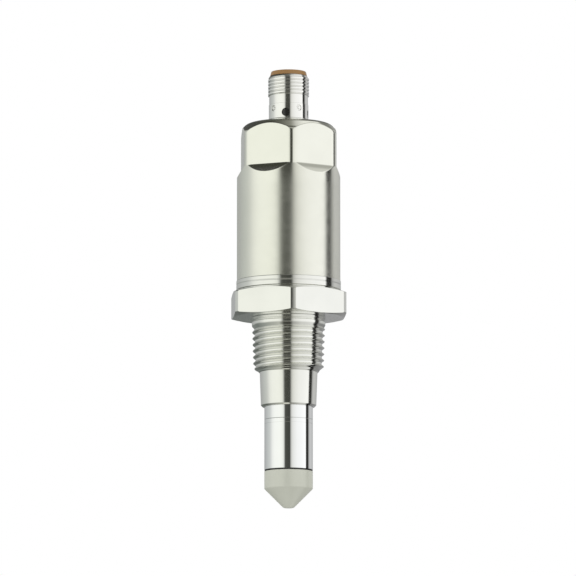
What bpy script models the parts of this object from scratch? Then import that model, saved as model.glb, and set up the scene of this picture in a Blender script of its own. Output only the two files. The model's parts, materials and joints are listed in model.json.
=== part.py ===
"""Point level sensor: plug connector, housing, hex flange, taper thread, probe tube, plastic tip.

The origin is on the sensor's axis at the underside of the hex flange, where the process thread begins.
+Z points to the plug and -Z into the tank. All lengths are in metres.
"""

import math

import bmesh
import bpy
from mathutils import Matrix, Vector

MM = 0.001

# Clearances between pieces that touch in the real sensor
FIT_GAP = 0.2 * MM
FINE_GAP = 0.1 * MM
SEAL_GAP = 0.05 * MM

# Housing: turned can with a conical shoulder, a sloping crown and six spanner flats
BODY_DIAMETER = 30.0 * MM
BODY_WALL = 3.0 * MM
SHOULDER_HEIGHT = 53.4 * MM
SHOULDER_WIDTH = 2.58 * MM
SHOULDER_SLOPE = math.radians(51.0)
SHOULDER_RADIUS = 3.0 * MM
SHOULDER_INNER_RADIUS = 2.8 * MM
CROWN_SLOPE = math.radians(10.0)
CROWN_WALL = 1.8 * MM
SPANNER_DEPTH = 1.5 * MM
SPANNER_FLATS_LENGTH = 9.9 * MM
LEDGE_HEIGHT = 2.5 * MM
HEX_TURN = math.radians(30.0)

# Process fitting: hex flange, weld ring above it, neck, taper thread and stem below it
HEX_MARGIN = 1.1 * MM
HEX_CORNER_TRIM = 0.44 * MM
HEX_THICKNESS = 7.5 * MM
HEX_TOP_CHAMFER_ANGLE = math.radians(20.0)
HEX_FOOT_CHAMFER_ANGLE = math.radians(14.0)
UNDERCUT_DEPTH = 0.5 * MM
UNDERCUT_HEIGHT = 0.5 * MM
WELD_RING_HEIGHT = 2.8 * MM
WELD_RING_STAND_OUT = 0.15 * MM
NECK_DIAMETER = 21.4 * MM
NECK_LENGTH = 2.0 * MM
TAPER_THREAD_DIAMETER = 21.3 * MM
TAPER_THREAD_LENGTH = 12.8 * MM
TAPER = 1.0 / 16.0
THREAD_END_CHAMFER_HEIGHT = 1.1 * MM
THREAD_END_STEP = 0.15 * MM
STEM_STEP = 1.0 * MM
STEM_LENGTH = 10.0 * MM
STEM_FLARE = 0.35 * MM
STEM_FOOT_CHAMFER = 0.45 * MM
FITTING_BORE_STEP = 0.3 * MM
SPIGOT_HEIGHT = 6.0 * MM
SPIGOT_WALL = 2.2 * MM
RECESS_FLOOR = 3.5 * MM

# Probe tube, seal and sensing tip
TUBE_DIAMETER = 14.0 * MM
TUBE_WALL = 1.0 * MM
TUBE_LENGTH = 18.2 * MM
TUBE_SPIGOT_LENGTH = 4.0 * MM
SEAL_THICKNESS = 0.34 * MM
TIP_CYLINDER_LENGTH = 5.05 * MM
TIP_END_DIAMETER = 2.9 * MM
TIP_EDGE = 0.45 * MM
TIP_CONE_ANGLE = math.radians(45.0)
TIP_WALL = 1.6 * MM
TIP_SPIGOT_LENGTH = 5.0 * MM
TIP_SPIGOT_WALL = 1.2 * MM

# Connector sleeve with the plug thread
PLUG_THREAD_DIAMETER = 11.9 * MM
PLUG_THREAD_LENGTH = 4.7 * MM
PLUG_CHAMFER_HEIGHT = 0.7 * MM
PLUG_CHAMFER_WIDTH = 0.5 * MM
COLLAR_RELIEF = 0.2 * MM
COLLAR_LENGTH = 5.0 * MM
SLEEVE_NECK_RELIEF = 0.25 * MM
SLEEVE_NECK_LENGTH = 2.7 * MM
SLEEVE_WALL = 1.1 * MM
SLEEVE_SPIGOT_WALL = 0.6 * MM
SLEEVE_SPIGOT_LENGTH = 2.8 * MM
SLEEVE_LEDGE_WIDTH = 0.6 * MM
SLEEVE_LEDGE_HEIGHT = 0.8 * MM
WINDOW_DIAMETER = 2.4 * MM
WINDOW_DROP = 3.0 * MM
WINDOW_AZIMUTH = math.radians(-102.7)
WINDOW_RECESS = 0.1 * MM
WINDOWS = 4

# Contact carrier, pins and carrier seal
RIM_INSET = 0.08 * MM
RIM_HEIGHT = 1.3 * MM
CUP_WALL = 0.55 * MM
CUP_DEPTH = 7.8 * MM
CARRIER_FLOOR = 2.3 * MM
KEY_WIDTH = 1.2 * MM
KEY_DEPTH = 0.6 * MM
PIN_DIAMETER = 1.0 * MM
PIN_CIRCLE_DIAMETER = 5.0 * MM
PIN_SET_BACK = 1.1 * MM
PIN_TAIL = 0.6 * MM
PINS = 4
SEAL_CORD_DIAMETER = 0.66 * MM
SEAL_GROOVE_WIDTH = 1.0 * MM
SEAL_GROOVE_DEPTH = 0.65 * MM

# Lights and round board under the connector
LIGHT_RING_GAP = 0.3 * MM
STATUS_BOARD_THICKNESS = 0.8 * MM
LED_LENGTH = 1.6 * MM
LED_WIDTH = 0.8 * MM
LED_HEIGHT = 0.6 * MM
LED_EDGE_DISTANCE = 0.5 * MM

# Main board with its holders
HOLDER_THICKNESS = 3.2 * MM
LOWER_HOLDER_BORE = 8.0 * MM
UPPER_HOLDER_BORE = 14.0 * MM
HOLDER_GROOVE_DEPTH = 1.6 * MM
BOARD_THICKNESS = 0.8 * MM
BOARD_MARGIN = 2.0 * MM
BOARD_HEADROOM = 0.7 * MM
TONGUE_WIDTH = 6.0 * MM
TONGUE_LENGTH = 6.5 * MM

# Parts on the main board; the places are heights above the board's foot
PART_MARGIN = 1.0 * MM
PROCESSOR_SIDE = 7.0 * MM
PROCESSOR_HEIGHT = 1.0 * MM
PROCESSOR_PLACE = 11.0 * MM
DRIVER_WIDTH = 4.0 * MM
DRIVER_LENGTH = 5.0 * MM
DRIVER_HEIGHT = 1.4 * MM
INDUCTOR_DIAMETER = 6.0 * MM
INDUCTOR_HEIGHT = 3.2 * MM
CAPACITOR_DIAMETER = 4.0 * MM
CAPACITOR_HEIGHT = 5.0 * MM
CAPACITOR_SPACING = 7.0 * MM
CAPACITOR_PLACE = 16.0 * MM
LINK_WIDTH = 5.0 * MM
LINK_THICKNESS = 0.3 * MM
LINK_OVERLAP = 4.0 * MM
SPRING_THICKNESS = 0.3 * MM
SPRING_WIDTH = 2.4 * MM
SPRING_PLACE = 4.0 * MM
SPRING_FOOT_LENGTH = 5.0 * MM
SPRING_BEND = 1.2 * MM
SPRING_TAIL_LENGTH = 3.0 * MM

# Electrode and its insulating sleeve
ROD_DIAMETER = 4.0 * MM
ROD_SLOT_DEPTH = 4.0 * MM
CAVITY_END_RADIUS = 1.0 * MM
INSULATOR_FLANGE_WIDTH = 2.0 * MM
INSULATOR_FLANGE_THICKNESS = 1.0 * MM
INSULATOR_END_GAP = 0.6 * MM

# Facets round each turned piece
LARGE_SIDES = 48
MEDIUM_SIDES = 32
SMALL_SIDES = 16
ARC_STEPS = 6

# Diameters that follow from the sizes above
BODY_BORE = BODY_DIAMETER - 2 * BODY_WALL
SPANNER_ACROSS_FLATS = BODY_DIAMETER - 2 * SPANNER_DEPTH
HEX_ACROSS_FLATS = BODY_DIAMETER + 2 * HEX_MARGIN
HEX_TURNED_DIAMETER = 2 * (HEX_ACROSS_FLATS / math.sqrt(3.0) - HEX_CORNER_TRIM)
SPIGOT_DIAMETER = BODY_BORE - 2 * FIT_GAP
TUBE_BORE = TUBE_DIAMETER - 2 * TUBE_WALL
TUBE_SPIGOT_DIAMETER = TUBE_BORE - 2 * FIT_GAP
TUBE_SPIGOT_BORE = TUBE_SPIGOT_DIAMETER - 2 * TUBE_WALL
FITTING_BORE = TUBE_SPIGOT_BORE - 2 * FITTING_BORE_STEP
STEM_FOOT_DIAMETER = TUBE_DIAMETER + 2 * STEM_STEP
STEM_TOP_DIAMETER = STEM_FOOT_DIAMETER + 2 * STEM_FLARE
TIP_SPIGOT_DIAMETER = TUBE_BORE - 2 * FIT_GAP
TIP_BORE = TIP_SPIGOT_DIAMETER - 2 * TIP_SPIGOT_WALL
SLEEVE_BORE = PLUG_THREAD_DIAMETER - 2 * SLEEVE_WALL
COLLAR_DIAMETER = PLUG_THREAD_DIAMETER - 2 * COLLAR_RELIEF
SLEEVE_NECK_DIAMETER = PLUG_THREAD_DIAMETER - 2 * SLEEVE_NECK_RELIEF
SLEEVE_SPIGOT_DIAMETER = SLEEVE_BORE + 2 * SLEEVE_SPIGOT_WALL
SLEEVE_END_DIAMETER = PLUG_THREAD_DIAMETER - 2 * PLUG_CHAMFER_WIDTH
RIM_DIAMETER = SLEEVE_END_DIAMETER - 2 * RIM_INSET
CARRIER_DIAMETER = SLEEVE_BORE - 2 * FINE_GAP
CUP_BORE = CARRIER_DIAMETER - 2 * CUP_WALL
LIGHT_RING_BORE = PIN_CIRCLE_DIAMETER + PIN_DIAMETER + 2 * LIGHT_RING_GAP
STATUS_BOARD_DIAMETER = SLEEVE_BORE - 2 * FIT_GAP
BOARD_WIDTH = BODY_BORE - 2 * BOARD_MARGIN

# Heights on the axis that follow from the sizes above
BODY_FOOT = HEX_THICKNESS + UNDERCUT_HEIGHT + WELD_RING_HEIGHT
SPIGOT_TOP = BODY_FOOT + SPIGOT_HEIGHT
THREAD_TOP = -NECK_LENGTH
THREAD_END = THREAD_TOP - TAPER_THREAD_LENGTH
STEM_TOP = THREAD_END - THREAD_END_CHAMFER_HEIGHT
STEM_FOOT = STEM_TOP - STEM_LENGTH
TUBE_TOP = STEM_FOOT - FINE_GAP
TUBE_FOOT = TUBE_TOP - TUBE_LENGTH
SEAL_TOP = TUBE_FOOT - SEAL_GAP
TIP_TOP = SEAL_TOP - SEAL_THICKNESS - SEAL_GAP
TIP_CONE_TOP = TIP_TOP - TIP_CYLINDER_LENGTH
TIP_END = TIP_CONE_TOP - (TUBE_DIAMETER - TIP_END_DIAMETER) / 2 / math.tan(TIP_CONE_ANGLE)
CROWN_CORNER_RADIUS = BODY_DIAMETER / 2 - SHOULDER_WIDTH
CROWN_CORNER_HEIGHT = SHOULDER_HEIGHT + SHOULDER_WIDTH * math.tan(SHOULDER_SLOPE)
INNER_ARC_CENTRE = BODY_BORE / 2 - SHOULDER_INNER_RADIUS
CROWN_OVER_INNER_ARC = CROWN_CORNER_HEIGHT + (CROWN_CORNER_RADIUS - INNER_ARC_CENTRE) * math.tan(CROWN_SLOPE)
INNER_SHOULDER_HEIGHT = CROWN_OVER_INNER_ARC - (SHOULDER_INNER_RADIUS + CROWN_WALL) / math.cos(CROWN_SLOPE)
SPANNER_FLATS_FOOT = SHOULDER_HEIGHT - SPANNER_FLATS_LENGTH
SLEEVE_SEAT = CROWN_CORNER_HEIGHT + (CROWN_CORNER_RADIUS - COLLAR_DIAMETER / 2) * math.tan(CROWN_SLOPE)
COLLAR_TOP = SLEEVE_SEAT + COLLAR_LENGTH
PLUG_THREAD_FOOT = COLLAR_TOP + SLEEVE_NECK_LENGTH
SLEEVE_END = PLUG_THREAD_FOOT + PLUG_THREAD_LENGTH + PLUG_CHAMFER_HEIGHT
SLEEVE_FOOT = SLEEVE_SEAT - SLEEVE_SPIGOT_LENGTH
WINDOW_HEIGHT = COLLAR_TOP - WINDOW_DROP
RIM_FOOT = SLEEVE_END + FINE_GAP
CARRIER_TOP = RIM_FOOT + RIM_HEIGHT
CUP_FLOOR = CARRIER_TOP - CUP_DEPTH
CARRIER_FOOT = CUP_FLOOR - CARRIER_FLOOR
STATUS_BOARD_FOOT = SLEEVE_FOOT + SLEEVE_LEDGE_HEIGHT + FINE_GAP
STATUS_BOARD_TOP = STATUS_BOARD_FOOT + STATUS_BOARD_THICKNESS
LED_TOP = STATUS_BOARD_TOP + FINE_GAP + LED_HEIGHT
LOWER_HOLDER_FOOT = SPIGOT_TOP + FIT_GAP
BOARD_FOOT = LOWER_HOLDER_FOOT + HOLDER_THICKNESS - HOLDER_GROOVE_DEPTH + FIT_GAP
UPPER_HOLDER_FOOT = INNER_SHOULDER_HEIGHT - BOARD_HEADROOM - HOLDER_THICKNESS
BOARD_TOP = UPPER_HOLDER_FOOT + HOLDER_GROOVE_DEPTH - FIT_GAP
BOARD_LENGTH = BOARD_TOP - BOARD_FOOT
TONGUE_FOOT = BOARD_FOOT - TONGUE_LENGTH
ROD_TOP = TONGUE_FOOT - FIT_GAP + ROD_SLOT_DEPTH

# Driver chip and inductor: one above the other between the holders, with three equal gaps
LOWER_HOLDER_TOP = LOWER_HOLDER_FOOT + HOLDER_THICKNESS
PART_GAP = (UPPER_HOLDER_FOOT - LOWER_HOLDER_TOP - DRIVER_LENGTH - INDUCTOR_DIAMETER) / 3
DRIVER_PLACE = LOWER_HOLDER_TOP + PART_GAP + DRIVER_LENGTH / 2 - BOARD_FOOT
INDUCTOR_PLACE = UPPER_HOLDER_FOOT - PART_GAP - INDUCTOR_DIAMETER / 2 - BOARD_FOOT


def clear_scene():
    for obj in list(bpy.data.objects):
        bpy.data.objects.remove(obj, do_unlink=True)


def finish_material(name, colour, roughness, metallic):
    """A Principled material of one colour, roughness and metallic value."""
    material = bpy.data.materials.new(name)
    material.use_nodes = True
    shader = material.node_tree.nodes["Principled BSDF"]
    shader.inputs["Base Color"].default_value = (*colour, 1.0)
    shader.inputs["Roughness"].default_value = roughness
    shader.inputs["Metallic"].default_value = metallic
    return material


def steel(name, roughness):
    return finish_material(name, (0.60, 0.60, 0.57), roughness, 1.0)


def group(name, height=0.0, parent=None):
    """An empty on the axis that carries the pieces of one sub-assembly."""
    empty = bpy.data.objects.new(name, None)
    empty.location = (0.0, 0.0, height)
    empty.parent = parent
    bpy.context.collection.objects.link(empty)
    return empty


def add_object(name, mesh_builder, material, parent, location=(0.0, 0.0, 0.0), turn=0.0, smooth=True):
    """Make a node from a finished bmesh, centred on its own location and turned about Z."""
    bmesh.ops.recalc_face_normals(mesh_builder, faces=mesh_builder.faces)
    mesh = bpy.data.meshes.new(name)
    mesh_builder.to_mesh(mesh)
    mesh_builder.free()
    if smooth:
        mesh.shade_smooth()
        mesh.set_sharp_from_angle(angle=math.radians(30.0))
    if material:
        mesh.materials.append(material)
    obj = bpy.data.objects.new(name, mesh)
    obj.parent = parent
    obj.location = location
    obj.rotation_euler = (0.0, 0.0, turn)
    bpy.context.collection.objects.link(obj)
    return obj


def turned(outline, sides):
    """Spin a closed outline of (radius, height) points once round Z."""
    builder = bmesh.new()
    ring = [builder.verts.new((radius, 0.0, height)) for radius, height in outline]
    edges = []
    for index, vertex in enumerate(ring):
        edges.append(builder.edges.new((vertex, ring[(index + 1) % len(ring)])))
    bmesh.ops.spin(
        builder, geom=ring + edges, cent=(0, 0, 0), axis=(0, 0, 1),
        angle=math.tau, steps=sides, use_merge=True,
    )
    bmesh.ops.remove_doubles(builder, verts=builder.verts, dist=1e-7)
    flat = [edge for edge in builder.edges if not edge.link_faces]
    bmesh.ops.delete(builder, geom=flat, context="EDGES")
    return builder


def extruded(outline, thickness, direction=(0.0, 1.0, 0.0)):
    """Extrude a closed outline of 3-D points by a thickness along a direction."""
    builder = bmesh.new()
    face = builder.faces.new([builder.verts.new(point) for point in outline])
    result = bmesh.ops.extrude_face_region(builder, geom=[face])
    moved = [item for item in result["geom"] if isinstance(item, bmesh.types.BMVert)]
    bmesh.ops.translate(builder, verts=moved, vec=Vector(direction) * thickness)
    return builder


def block(width, depth, height):
    """A box that stands on its own origin, centred in X and Y."""
    builder = bmesh.new()
    placed = Matrix.Translation((0.0, 0.0, height / 2)) @ Matrix.Diagonal((width, depth, height, 1.0))
    bmesh.ops.create_cube(builder, size=1.0, matrix=placed)
    return builder


def rod(diameter, length, sides):
    """A plain cylinder that stands on its own origin."""
    radius = diameter / 2
    return turned([(0.0, length), (radius, length), (radius, 0.0), (0.0, 0.0)], sides)


def arc(centre, radius, start, end, steps=ARC_STEPS):
    """Points of (radius, height) on an arc, both ends included; angles from the outward radius."""
    points = []
    for step in range(steps + 1):
        angle = start + (end - start) * step / steps
        points.append((centre[0] + radius * math.cos(angle), centre[1] + radius * math.sin(angle)))
    return points


def cut(target, name, cutter_builder, location=(0.0, 0.0, 0.0), rotation=None, operation="DIFFERENCE"):
    """Cut a target with a hidden tool solid that stands in the target's own frame."""
    cutter = add_object(name, cutter_builder, None, target, location, smooth=False)
    if rotation:
        cutter.rotation_euler = rotation
    cutter.hide_render = True
    cutter.display_type = "WIRE"
    modifier = target.modifiers.new(name, "BOOLEAN")
    modifier.operation = operation
    modifier.solver = "EXACT"
    modifier.object = cutter


def hexagon(across_flats, height, turn):
    """Corners of a hexagon across the axis; with no turn the first corner is on +X."""
    radius = across_flats / math.sqrt(3.0)
    corners = []
    for index in range(6):
        angle = turn + index * math.pi / 3
        corners.append((radius * math.cos(angle), radius * math.sin(angle), height))
    return corners


def hex_ring(sections, outside, turn):
    """A ring with a hexagonal hole: sections of (across flats, height) run from its foot to its top."""
    loops = [hexagon(across, height, turn) for across, height in sections]
    loops.append(hexagon(outside, sections[-1][1], turn))
    loops.append(hexagon(outside, sections[0][1], turn))
    builder = bmesh.new()
    rings = [[builder.verts.new(point) for point in loop] for loop in loops]
    for index, lower in enumerate(rings):
        upper = rings[(index + 1) % len(rings)]
        for side in range(6):
            after = (side + 1) % 6
            builder.faces.new((lower[side], lower[after], upper[after], upper[side]))
    return builder


def on_circle(diameter, index, count, start):
    angle = start + index * math.tau / count
    return diameter / 2 * math.cos(angle), diameter / 2 * math.sin(angle), angle


def make_process_fitting(parent, material):
    """Weld ring, hex flange, neck, taper thread blank and stem, turned from one hexagon bar."""
    body = BODY_DIAMETER / 2
    hex_radius = HEX_TURNED_DIAMETER / 2
    flat_radius = HEX_ACROSS_FLATS / 2
    thread_radius = TAPER_THREAD_DIAMETER / 2
    thread_end_radius = thread_radius - TAPER_THREAD_LENGTH * TAPER / 2
    top_chamfer = (hex_radius - flat_radius) * math.tan(HEX_TOP_CHAMFER_ANGLE)
    foot_chamfer = (hex_radius - flat_radius) * math.tan(HEX_FOOT_CHAMFER_ANGLE)
    weld_ring = body + WELD_RING_STAND_OUT
    socket = TUBE_SPIGOT_DIAMETER / 2 + FIT_GAP
    recess = SPIGOT_DIAMETER / 2 - SPIGOT_WALL
    outline = [
        (recess, SPIGOT_TOP),
        (SPIGOT_DIAMETER / 2, SPIGOT_TOP),
        (SPIGOT_DIAMETER / 2, BODY_FOOT - FIT_GAP),
        (weld_ring, BODY_FOOT - FIT_GAP),
        (weld_ring, HEX_THICKNESS + UNDERCUT_HEIGHT),
        (body - UNDERCUT_DEPTH, HEX_THICKNESS + UNDERCUT_HEIGHT),
        (body - UNDERCUT_DEPTH, HEX_THICKNESS),
        (flat_radius, HEX_THICKNESS),
        (hex_radius, HEX_THICKNESS - top_chamfer),
        (hex_radius, foot_chamfer),
        (flat_radius, 0.0),
        (NECK_DIAMETER / 2, 0.0),
        (NECK_DIAMETER / 2, THREAD_TOP),
        (thread_radius, THREAD_TOP),
        (thread_end_radius, THREAD_END),
        (STEM_TOP_DIAMETER / 2 + THREAD_END_STEP, STEM_TOP),
        (STEM_TOP_DIAMETER / 2, STEM_TOP),
        (STEM_FOOT_DIAMETER / 2, STEM_FOOT + STEM_FOOT_CHAMFER),
        (STEM_FOOT_DIAMETER / 2 - STEM_FOOT_CHAMFER, STEM_FOOT),
        (socket, STEM_FOOT),
        (socket, STEM_FOOT + TUBE_SPIGOT_LENGTH + FIT_GAP),
        (FITTING_BORE / 2, STEM_FOOT + TUBE_SPIGOT_LENGTH + FIT_GAP),
        (FITTING_BORE / 2, RECESS_FLOOR),
        (recess, RECESS_FLOOR),
    ]
    fitting = add_object("process_fitting", turned(outline, LARGE_SIDES), material, parent)
    overrun = UNDERCUT_HEIGHT / 2
    sections = [(HEX_ACROSS_FLATS, -overrun), (HEX_ACROSS_FLATS, HEX_THICKNESS + overrun)]
    cut(fitting, "flange_hexagon", hex_ring(sections, 2 * HEX_TURNED_DIAMETER, HEX_TURN))


def make_housing(parent, material):
    """Turned can: straight wall, conical shoulder, sloping crown with the sleeve's hole, spanner flats."""
    outer = BODY_DIAMETER / 2
    bore = BODY_BORE / 2
    hole = SLEEVE_SPIGOT_DIAMETER / 2 + FIT_GAP
    slope = math.tan(CROWN_SLOPE)
    crown_normal = math.pi / 2 - CROWN_SLOPE
    shoulder_normal = math.pi / 2 - SHOULDER_SLOPE
    blend_run = SHOULDER_RADIUS * math.tan((SHOULDER_SLOPE - CROWN_SLOPE) / 2)
    blend_centre = (
        CROWN_CORNER_RADIUS - blend_run * math.cos(CROWN_SLOPE) - SHOULDER_RADIUS * math.sin(CROWN_SLOPE),
        CROWN_CORNER_HEIGHT + blend_run * math.sin(CROWN_SLOPE) - SHOULDER_RADIUS * math.cos(CROWN_SLOPE),
    )
    inside = arc((INNER_ARC_CENTRE, INNER_SHOULDER_HEIGHT), SHOULDER_INNER_RADIUS, 0.0, crown_normal)
    outline = [(hole, CROWN_CORNER_HEIGHT + (CROWN_CORNER_RADIUS - hole) * slope)]
    outline += arc(blend_centre, SHOULDER_RADIUS, crown_normal, shoulder_normal)
    outline += [(outer, SHOULDER_HEIGHT), (outer, BODY_FOOT), (bore, BODY_FOOT)]
    outline += inside
    outline += [(hole, inside[-1][1] + (inside[-1][0] - hole) * slope)]
    local = [(radius, height - BODY_FOOT) for radius, height in outline]
    housing = add_object("housing", turned(local, LARGE_SIDES), material, parent)
    flats_foot = SPANNER_FLATS_FOOT - BODY_FOOT
    overrun = LEDGE_HEIGHT
    foot_width = SPANNER_ACROSS_FLATS + 2 * SPANNER_DEPTH * (LEDGE_HEIGHT + overrun) / LEDGE_HEIGHT
    sections = [
        (foot_width, flats_foot - LEDGE_HEIGHT - overrun),
        (SPANNER_ACROSS_FLATS, flats_foot),
        (SPANNER_ACROSS_FLATS, COLLAR_TOP - BODY_FOOT),
    ]
    cut(housing, "spanner_flats", hex_ring(sections, 2 * BODY_DIAMETER, HEX_TURN))


def make_connector_sleeve(parent, material):
    """Turned sleeve: spigot in the crown, collar with four windows, neck, thread blank, end chamfer."""
    ledge_bore = SLEEVE_BORE / 2 - SLEEVE_LEDGE_WIDTH
    spigot = SLEEVE_SPIGOT_DIAMETER / 2
    seat_at_spigot = SLEEVE_SEAT + FIT_GAP
    outline = [
        (SLEEVE_BORE / 2, SLEEVE_END),
        (SLEEVE_END_DIAMETER / 2, SLEEVE_END),
        (PLUG_THREAD_DIAMETER / 2, SLEEVE_END - PLUG_CHAMFER_HEIGHT),
        (PLUG_THREAD_DIAMETER / 2, PLUG_THREAD_FOOT),
        (SLEEVE_NECK_DIAMETER / 2, PLUG_THREAD_FOOT),
        (SLEEVE_NECK_DIAMETER / 2, COLLAR_TOP),
        (COLLAR_DIAMETER / 2, COLLAR_TOP),
        (COLLAR_DIAMETER / 2, seat_at_spigot),
        (spigot, seat_at_spigot + (COLLAR_DIAMETER / 2 - spigot) * math.tan(CROWN_SLOPE)),
        (spigot, SLEEVE_FOOT),
        (ledge_bore, SLEEVE_FOOT),
        (ledge_bore, SLEEVE_FOOT + SLEEVE_LEDGE_HEIGHT),
        (SLEEVE_BORE / 2, SLEEVE_FOOT + SLEEVE_LEDGE_HEIGHT),
    ]
    local = [(radius, height - SLEEVE_FOOT) for radius, height in outline]
    sleeve = add_object("connector_sleeve", turned(local, MEDIUM_SIDES), material, parent)
    for index in range(WINDOWS // 2):
        angle = WINDOW_AZIMUTH + index * math.tau / WINDOWS
        across = Vector((math.cos(angle), math.sin(angle), 0.0)) * -COLLAR_DIAMETER
        location = (across.x, across.y, WINDOW_HEIGHT - SLEEVE_FOOT)
        drill = rod(WINDOW_DIAMETER, 2 * COLLAR_DIAMETER, MEDIUM_SIDES)
        cut(sleeve, f"window_drill_{index + 1}", drill, location, (0.0, math.pi / 2, angle))


def make_status_windows(parent, material):
    """Four round lenses, each let into its hole in the collar and set back a little from its surface."""
    inner_end = SLEEVE_BORE / 2
    length = COLLAR_DIAMETER / 2 - WINDOW_RECESS - inner_end
    for index in range(WINDOWS):
        x, y, angle = on_circle(2 * inner_end, index, WINDOWS, WINDOW_AZIMUTH)
        builder = rod(WINDOW_DIAMETER - 2 * FINE_GAP, length, SMALL_SIDES)
        window = add_object(f"status_window_{index + 1}", builder, material, parent)
        window.location = (x, y, WINDOW_HEIGHT - SLEEVE_FOOT)
        window.rotation_euler = (0.0, math.pi / 2, angle)


def make_contact_carrier(parent, material):
    """Moulded cup with a rim over the sleeve's end, a seal groove, a coding key and four pin holes."""
    outer = CARRIER_DIAMETER / 2
    groove = outer - SEAL_GROOVE_DEPTH
    groove_foot = CARRIER_FOOT + (CARRIER_FLOOR - SEAL_GROOVE_WIDTH) / 2
    outline = [
        (CUP_BORE / 2, CARRIER_TOP),
        (RIM_DIAMETER / 2, CARRIER_TOP),
        (RIM_DIAMETER / 2, RIM_FOOT),
        (outer, RIM_FOOT),
        (outer, groove_foot + SEAL_GROOVE_WIDTH),
        (groove, groove_foot + SEAL_GROOVE_WIDTH),
        (groove, groove_foot),
        (outer, groove_foot),
        (outer, CARRIER_FOOT),
        (0.0, CARRIER_FOOT),
        (0.0, CUP_FLOOR),
        (CUP_BORE / 2, CUP_FLOOR),
    ]
    local = [(radius, height - CARRIER_FOOT) for radius, height in outline]
    carrier = add_object("contact_carrier", turned(local, MEDIUM_SIDES), material, parent)
    carrier.location = (0.0, 0.0, CARRIER_FOOT - SLEEVE_FOOT)
    root = (outer - CUP_BORE / 2) / 2
    key = block(KEY_DEPTH + root, KEY_WIDTH, CUP_DEPTH - RIM_HEIGHT + root)
    key_middle = CUP_BORE / 2 - (KEY_DEPTH - root) / 2
    cut(carrier, "coding_key", key, (key_middle, 0.0, CARRIER_FLOOR - root), operation="UNION")
    for index in range(PINS):
        x, y, _ = on_circle(PIN_CIRCLE_DIAMETER, index, PINS, math.tau / PINS / 2)
        drill = rod(PIN_DIAMETER + 2 * FINE_GAP, 3 * CARRIER_FLOOR, SMALL_SIDES)
        cut(carrier, f"pin_drill_{index + 1}", drill, (x, y, -CARRIER_FLOOR))


def make_carrier_seal(parent, material):
    """O-ring in the carrier's groove."""
    middle = (CARRIER_DIAMETER / 2 - SEAL_GROOVE_DEPTH + SLEEVE_BORE / 2) / 2
    cord = arc((middle, 0.0), SEAL_CORD_DIAMETER / 2, 0.0, -math.tau, 8)[:-1]
    seal = add_object("carrier_seal", turned(cord, MEDIUM_SIDES), material, parent)
    seal.location = (0.0, 0.0, CARRIER_FOOT + CARRIER_FLOOR / 2 - SLEEVE_FOOT)


def make_contact_pins(parent, material):
    """Four pins with rounded ends, through the carrier's floor and soldered into the round board."""
    radius = PIN_DIAMETER / 2
    foot = STATUS_BOARD_FOOT - PIN_TAIL
    length = CARRIER_TOP - PIN_SET_BACK - foot
    outline = arc((0.0, length - radius), radius, math.pi / 2, 0.0, 3) + [(radius, 0.0), (0.0, 0.0)]
    for index in range(PINS):
        x, y, _ = on_circle(PIN_CIRCLE_DIAMETER, index, PINS, math.tau / PINS / 2)
        pin = add_object(f"contact_pin_{index + 1}", turned(outline, SMALL_SIDES), material, parent)
        pin.location = (x, y, foot - SLEEVE_FOOT)


def make_light_ring(parent, material):
    """Clear ring behind the windows, between the lights and the carrier's floor."""
    foot = LED_TOP + FINE_GAP
    top = CARRIER_FOOT - FINE_GAP
    outer = SLEEVE_BORE / 2 - FINE_GAP
    bore = LIGHT_RING_BORE / 2
    outline = [(bore, top - foot), (outer, top - foot), (outer, 0.0), (bore, 0.0)]
    ring = add_object("light_ring", turned(outline, MEDIUM_SIDES), material, parent)
    ring.location = (0.0, 0.0, foot - SLEEVE_FOOT)


def make_status_board(parent, material):
    """Round board on the sleeve's inner ledge, with a hole for each pin."""
    builder = rod(STATUS_BOARD_DIAMETER, STATUS_BOARD_THICKNESS, MEDIUM_SIDES)
    board = add_object("status_board", builder, material, parent)
    board.location = (0.0, 0.0, STATUS_BOARD_FOOT - SLEEVE_FOOT)
    for index in range(PINS):
        x, y, _ = on_circle(PIN_CIRCLE_DIAMETER, index, PINS, math.tau / PINS / 2)
        drill = rod(PIN_DIAMETER + 2 * FINE_GAP, 3 * STATUS_BOARD_THICKNESS, SMALL_SIDES)
        cut(board, f"board_drill_{index + 1}", drill, (x, y, -STATUS_BOARD_THICKNESS))


def make_status_leds(parent, material):
    """One light chip under the light ring at each window."""
    across = STATUS_BOARD_DIAMETER - 2 * LED_EDGE_DISTANCE - LED_WIDTH
    for index in range(WINDOWS):
        x, y, angle = on_circle(across, index, WINDOWS, WINDOW_AZIMUTH)
        light = block(LED_WIDTH, LED_LENGTH, LED_HEIGHT)
        height = STATUS_BOARD_TOP + FINE_GAP - SLEEVE_FOOT
        add_object(f"status_led_{index + 1}", light, material, parent, (x, y, height), angle, smooth=False)


def bent_strip(path, thickness, width):
    """A flat strip of even thickness that follows a path of (y, z) points, centred in X."""
    points = [Vector(point) for point in path]
    sides = []
    for index, point in enumerate(points):
        before = (point - points[index - 1]).normalized() if index else None
        after = (points[index + 1] - point).normalized() if index + 1 < len(points) else None
        along = ((before or after) + (after or before)).normalized()
        stretch = 1.0 / max(along.dot(after or before), 0.5)
        across = Vector((-along.y, along.x)) * thickness / 2 * stretch
        sides.append((point + across, point - across))
    loop = [pair[0] for pair in sides] + [pair[1] for pair in reversed(sides)]
    outline = [(-width / 2, point.x, point.y) for point in loop]
    return extruded(outline, width, (1.0, 0.0, 0.0))


def make_board_link(parent, material):
    """Flat flexible link soldered to the main board's face, up to the round board's underside."""
    face = BOARD_THICKNESS / 2 + FINE_GAP + LINK_THICKNESS / 2
    foot = BOARD_TOP - LINK_OVERLAP - BOARD_FOOT
    top = STATUS_BOARD_FOOT - FIT_GAP - BOARD_FOOT
    builder = bent_strip([(face, foot), (face, top)], LINK_THICKNESS, LINK_WIDTH)
    add_object("board_link", builder, material, parent, smooth=False)


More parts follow.
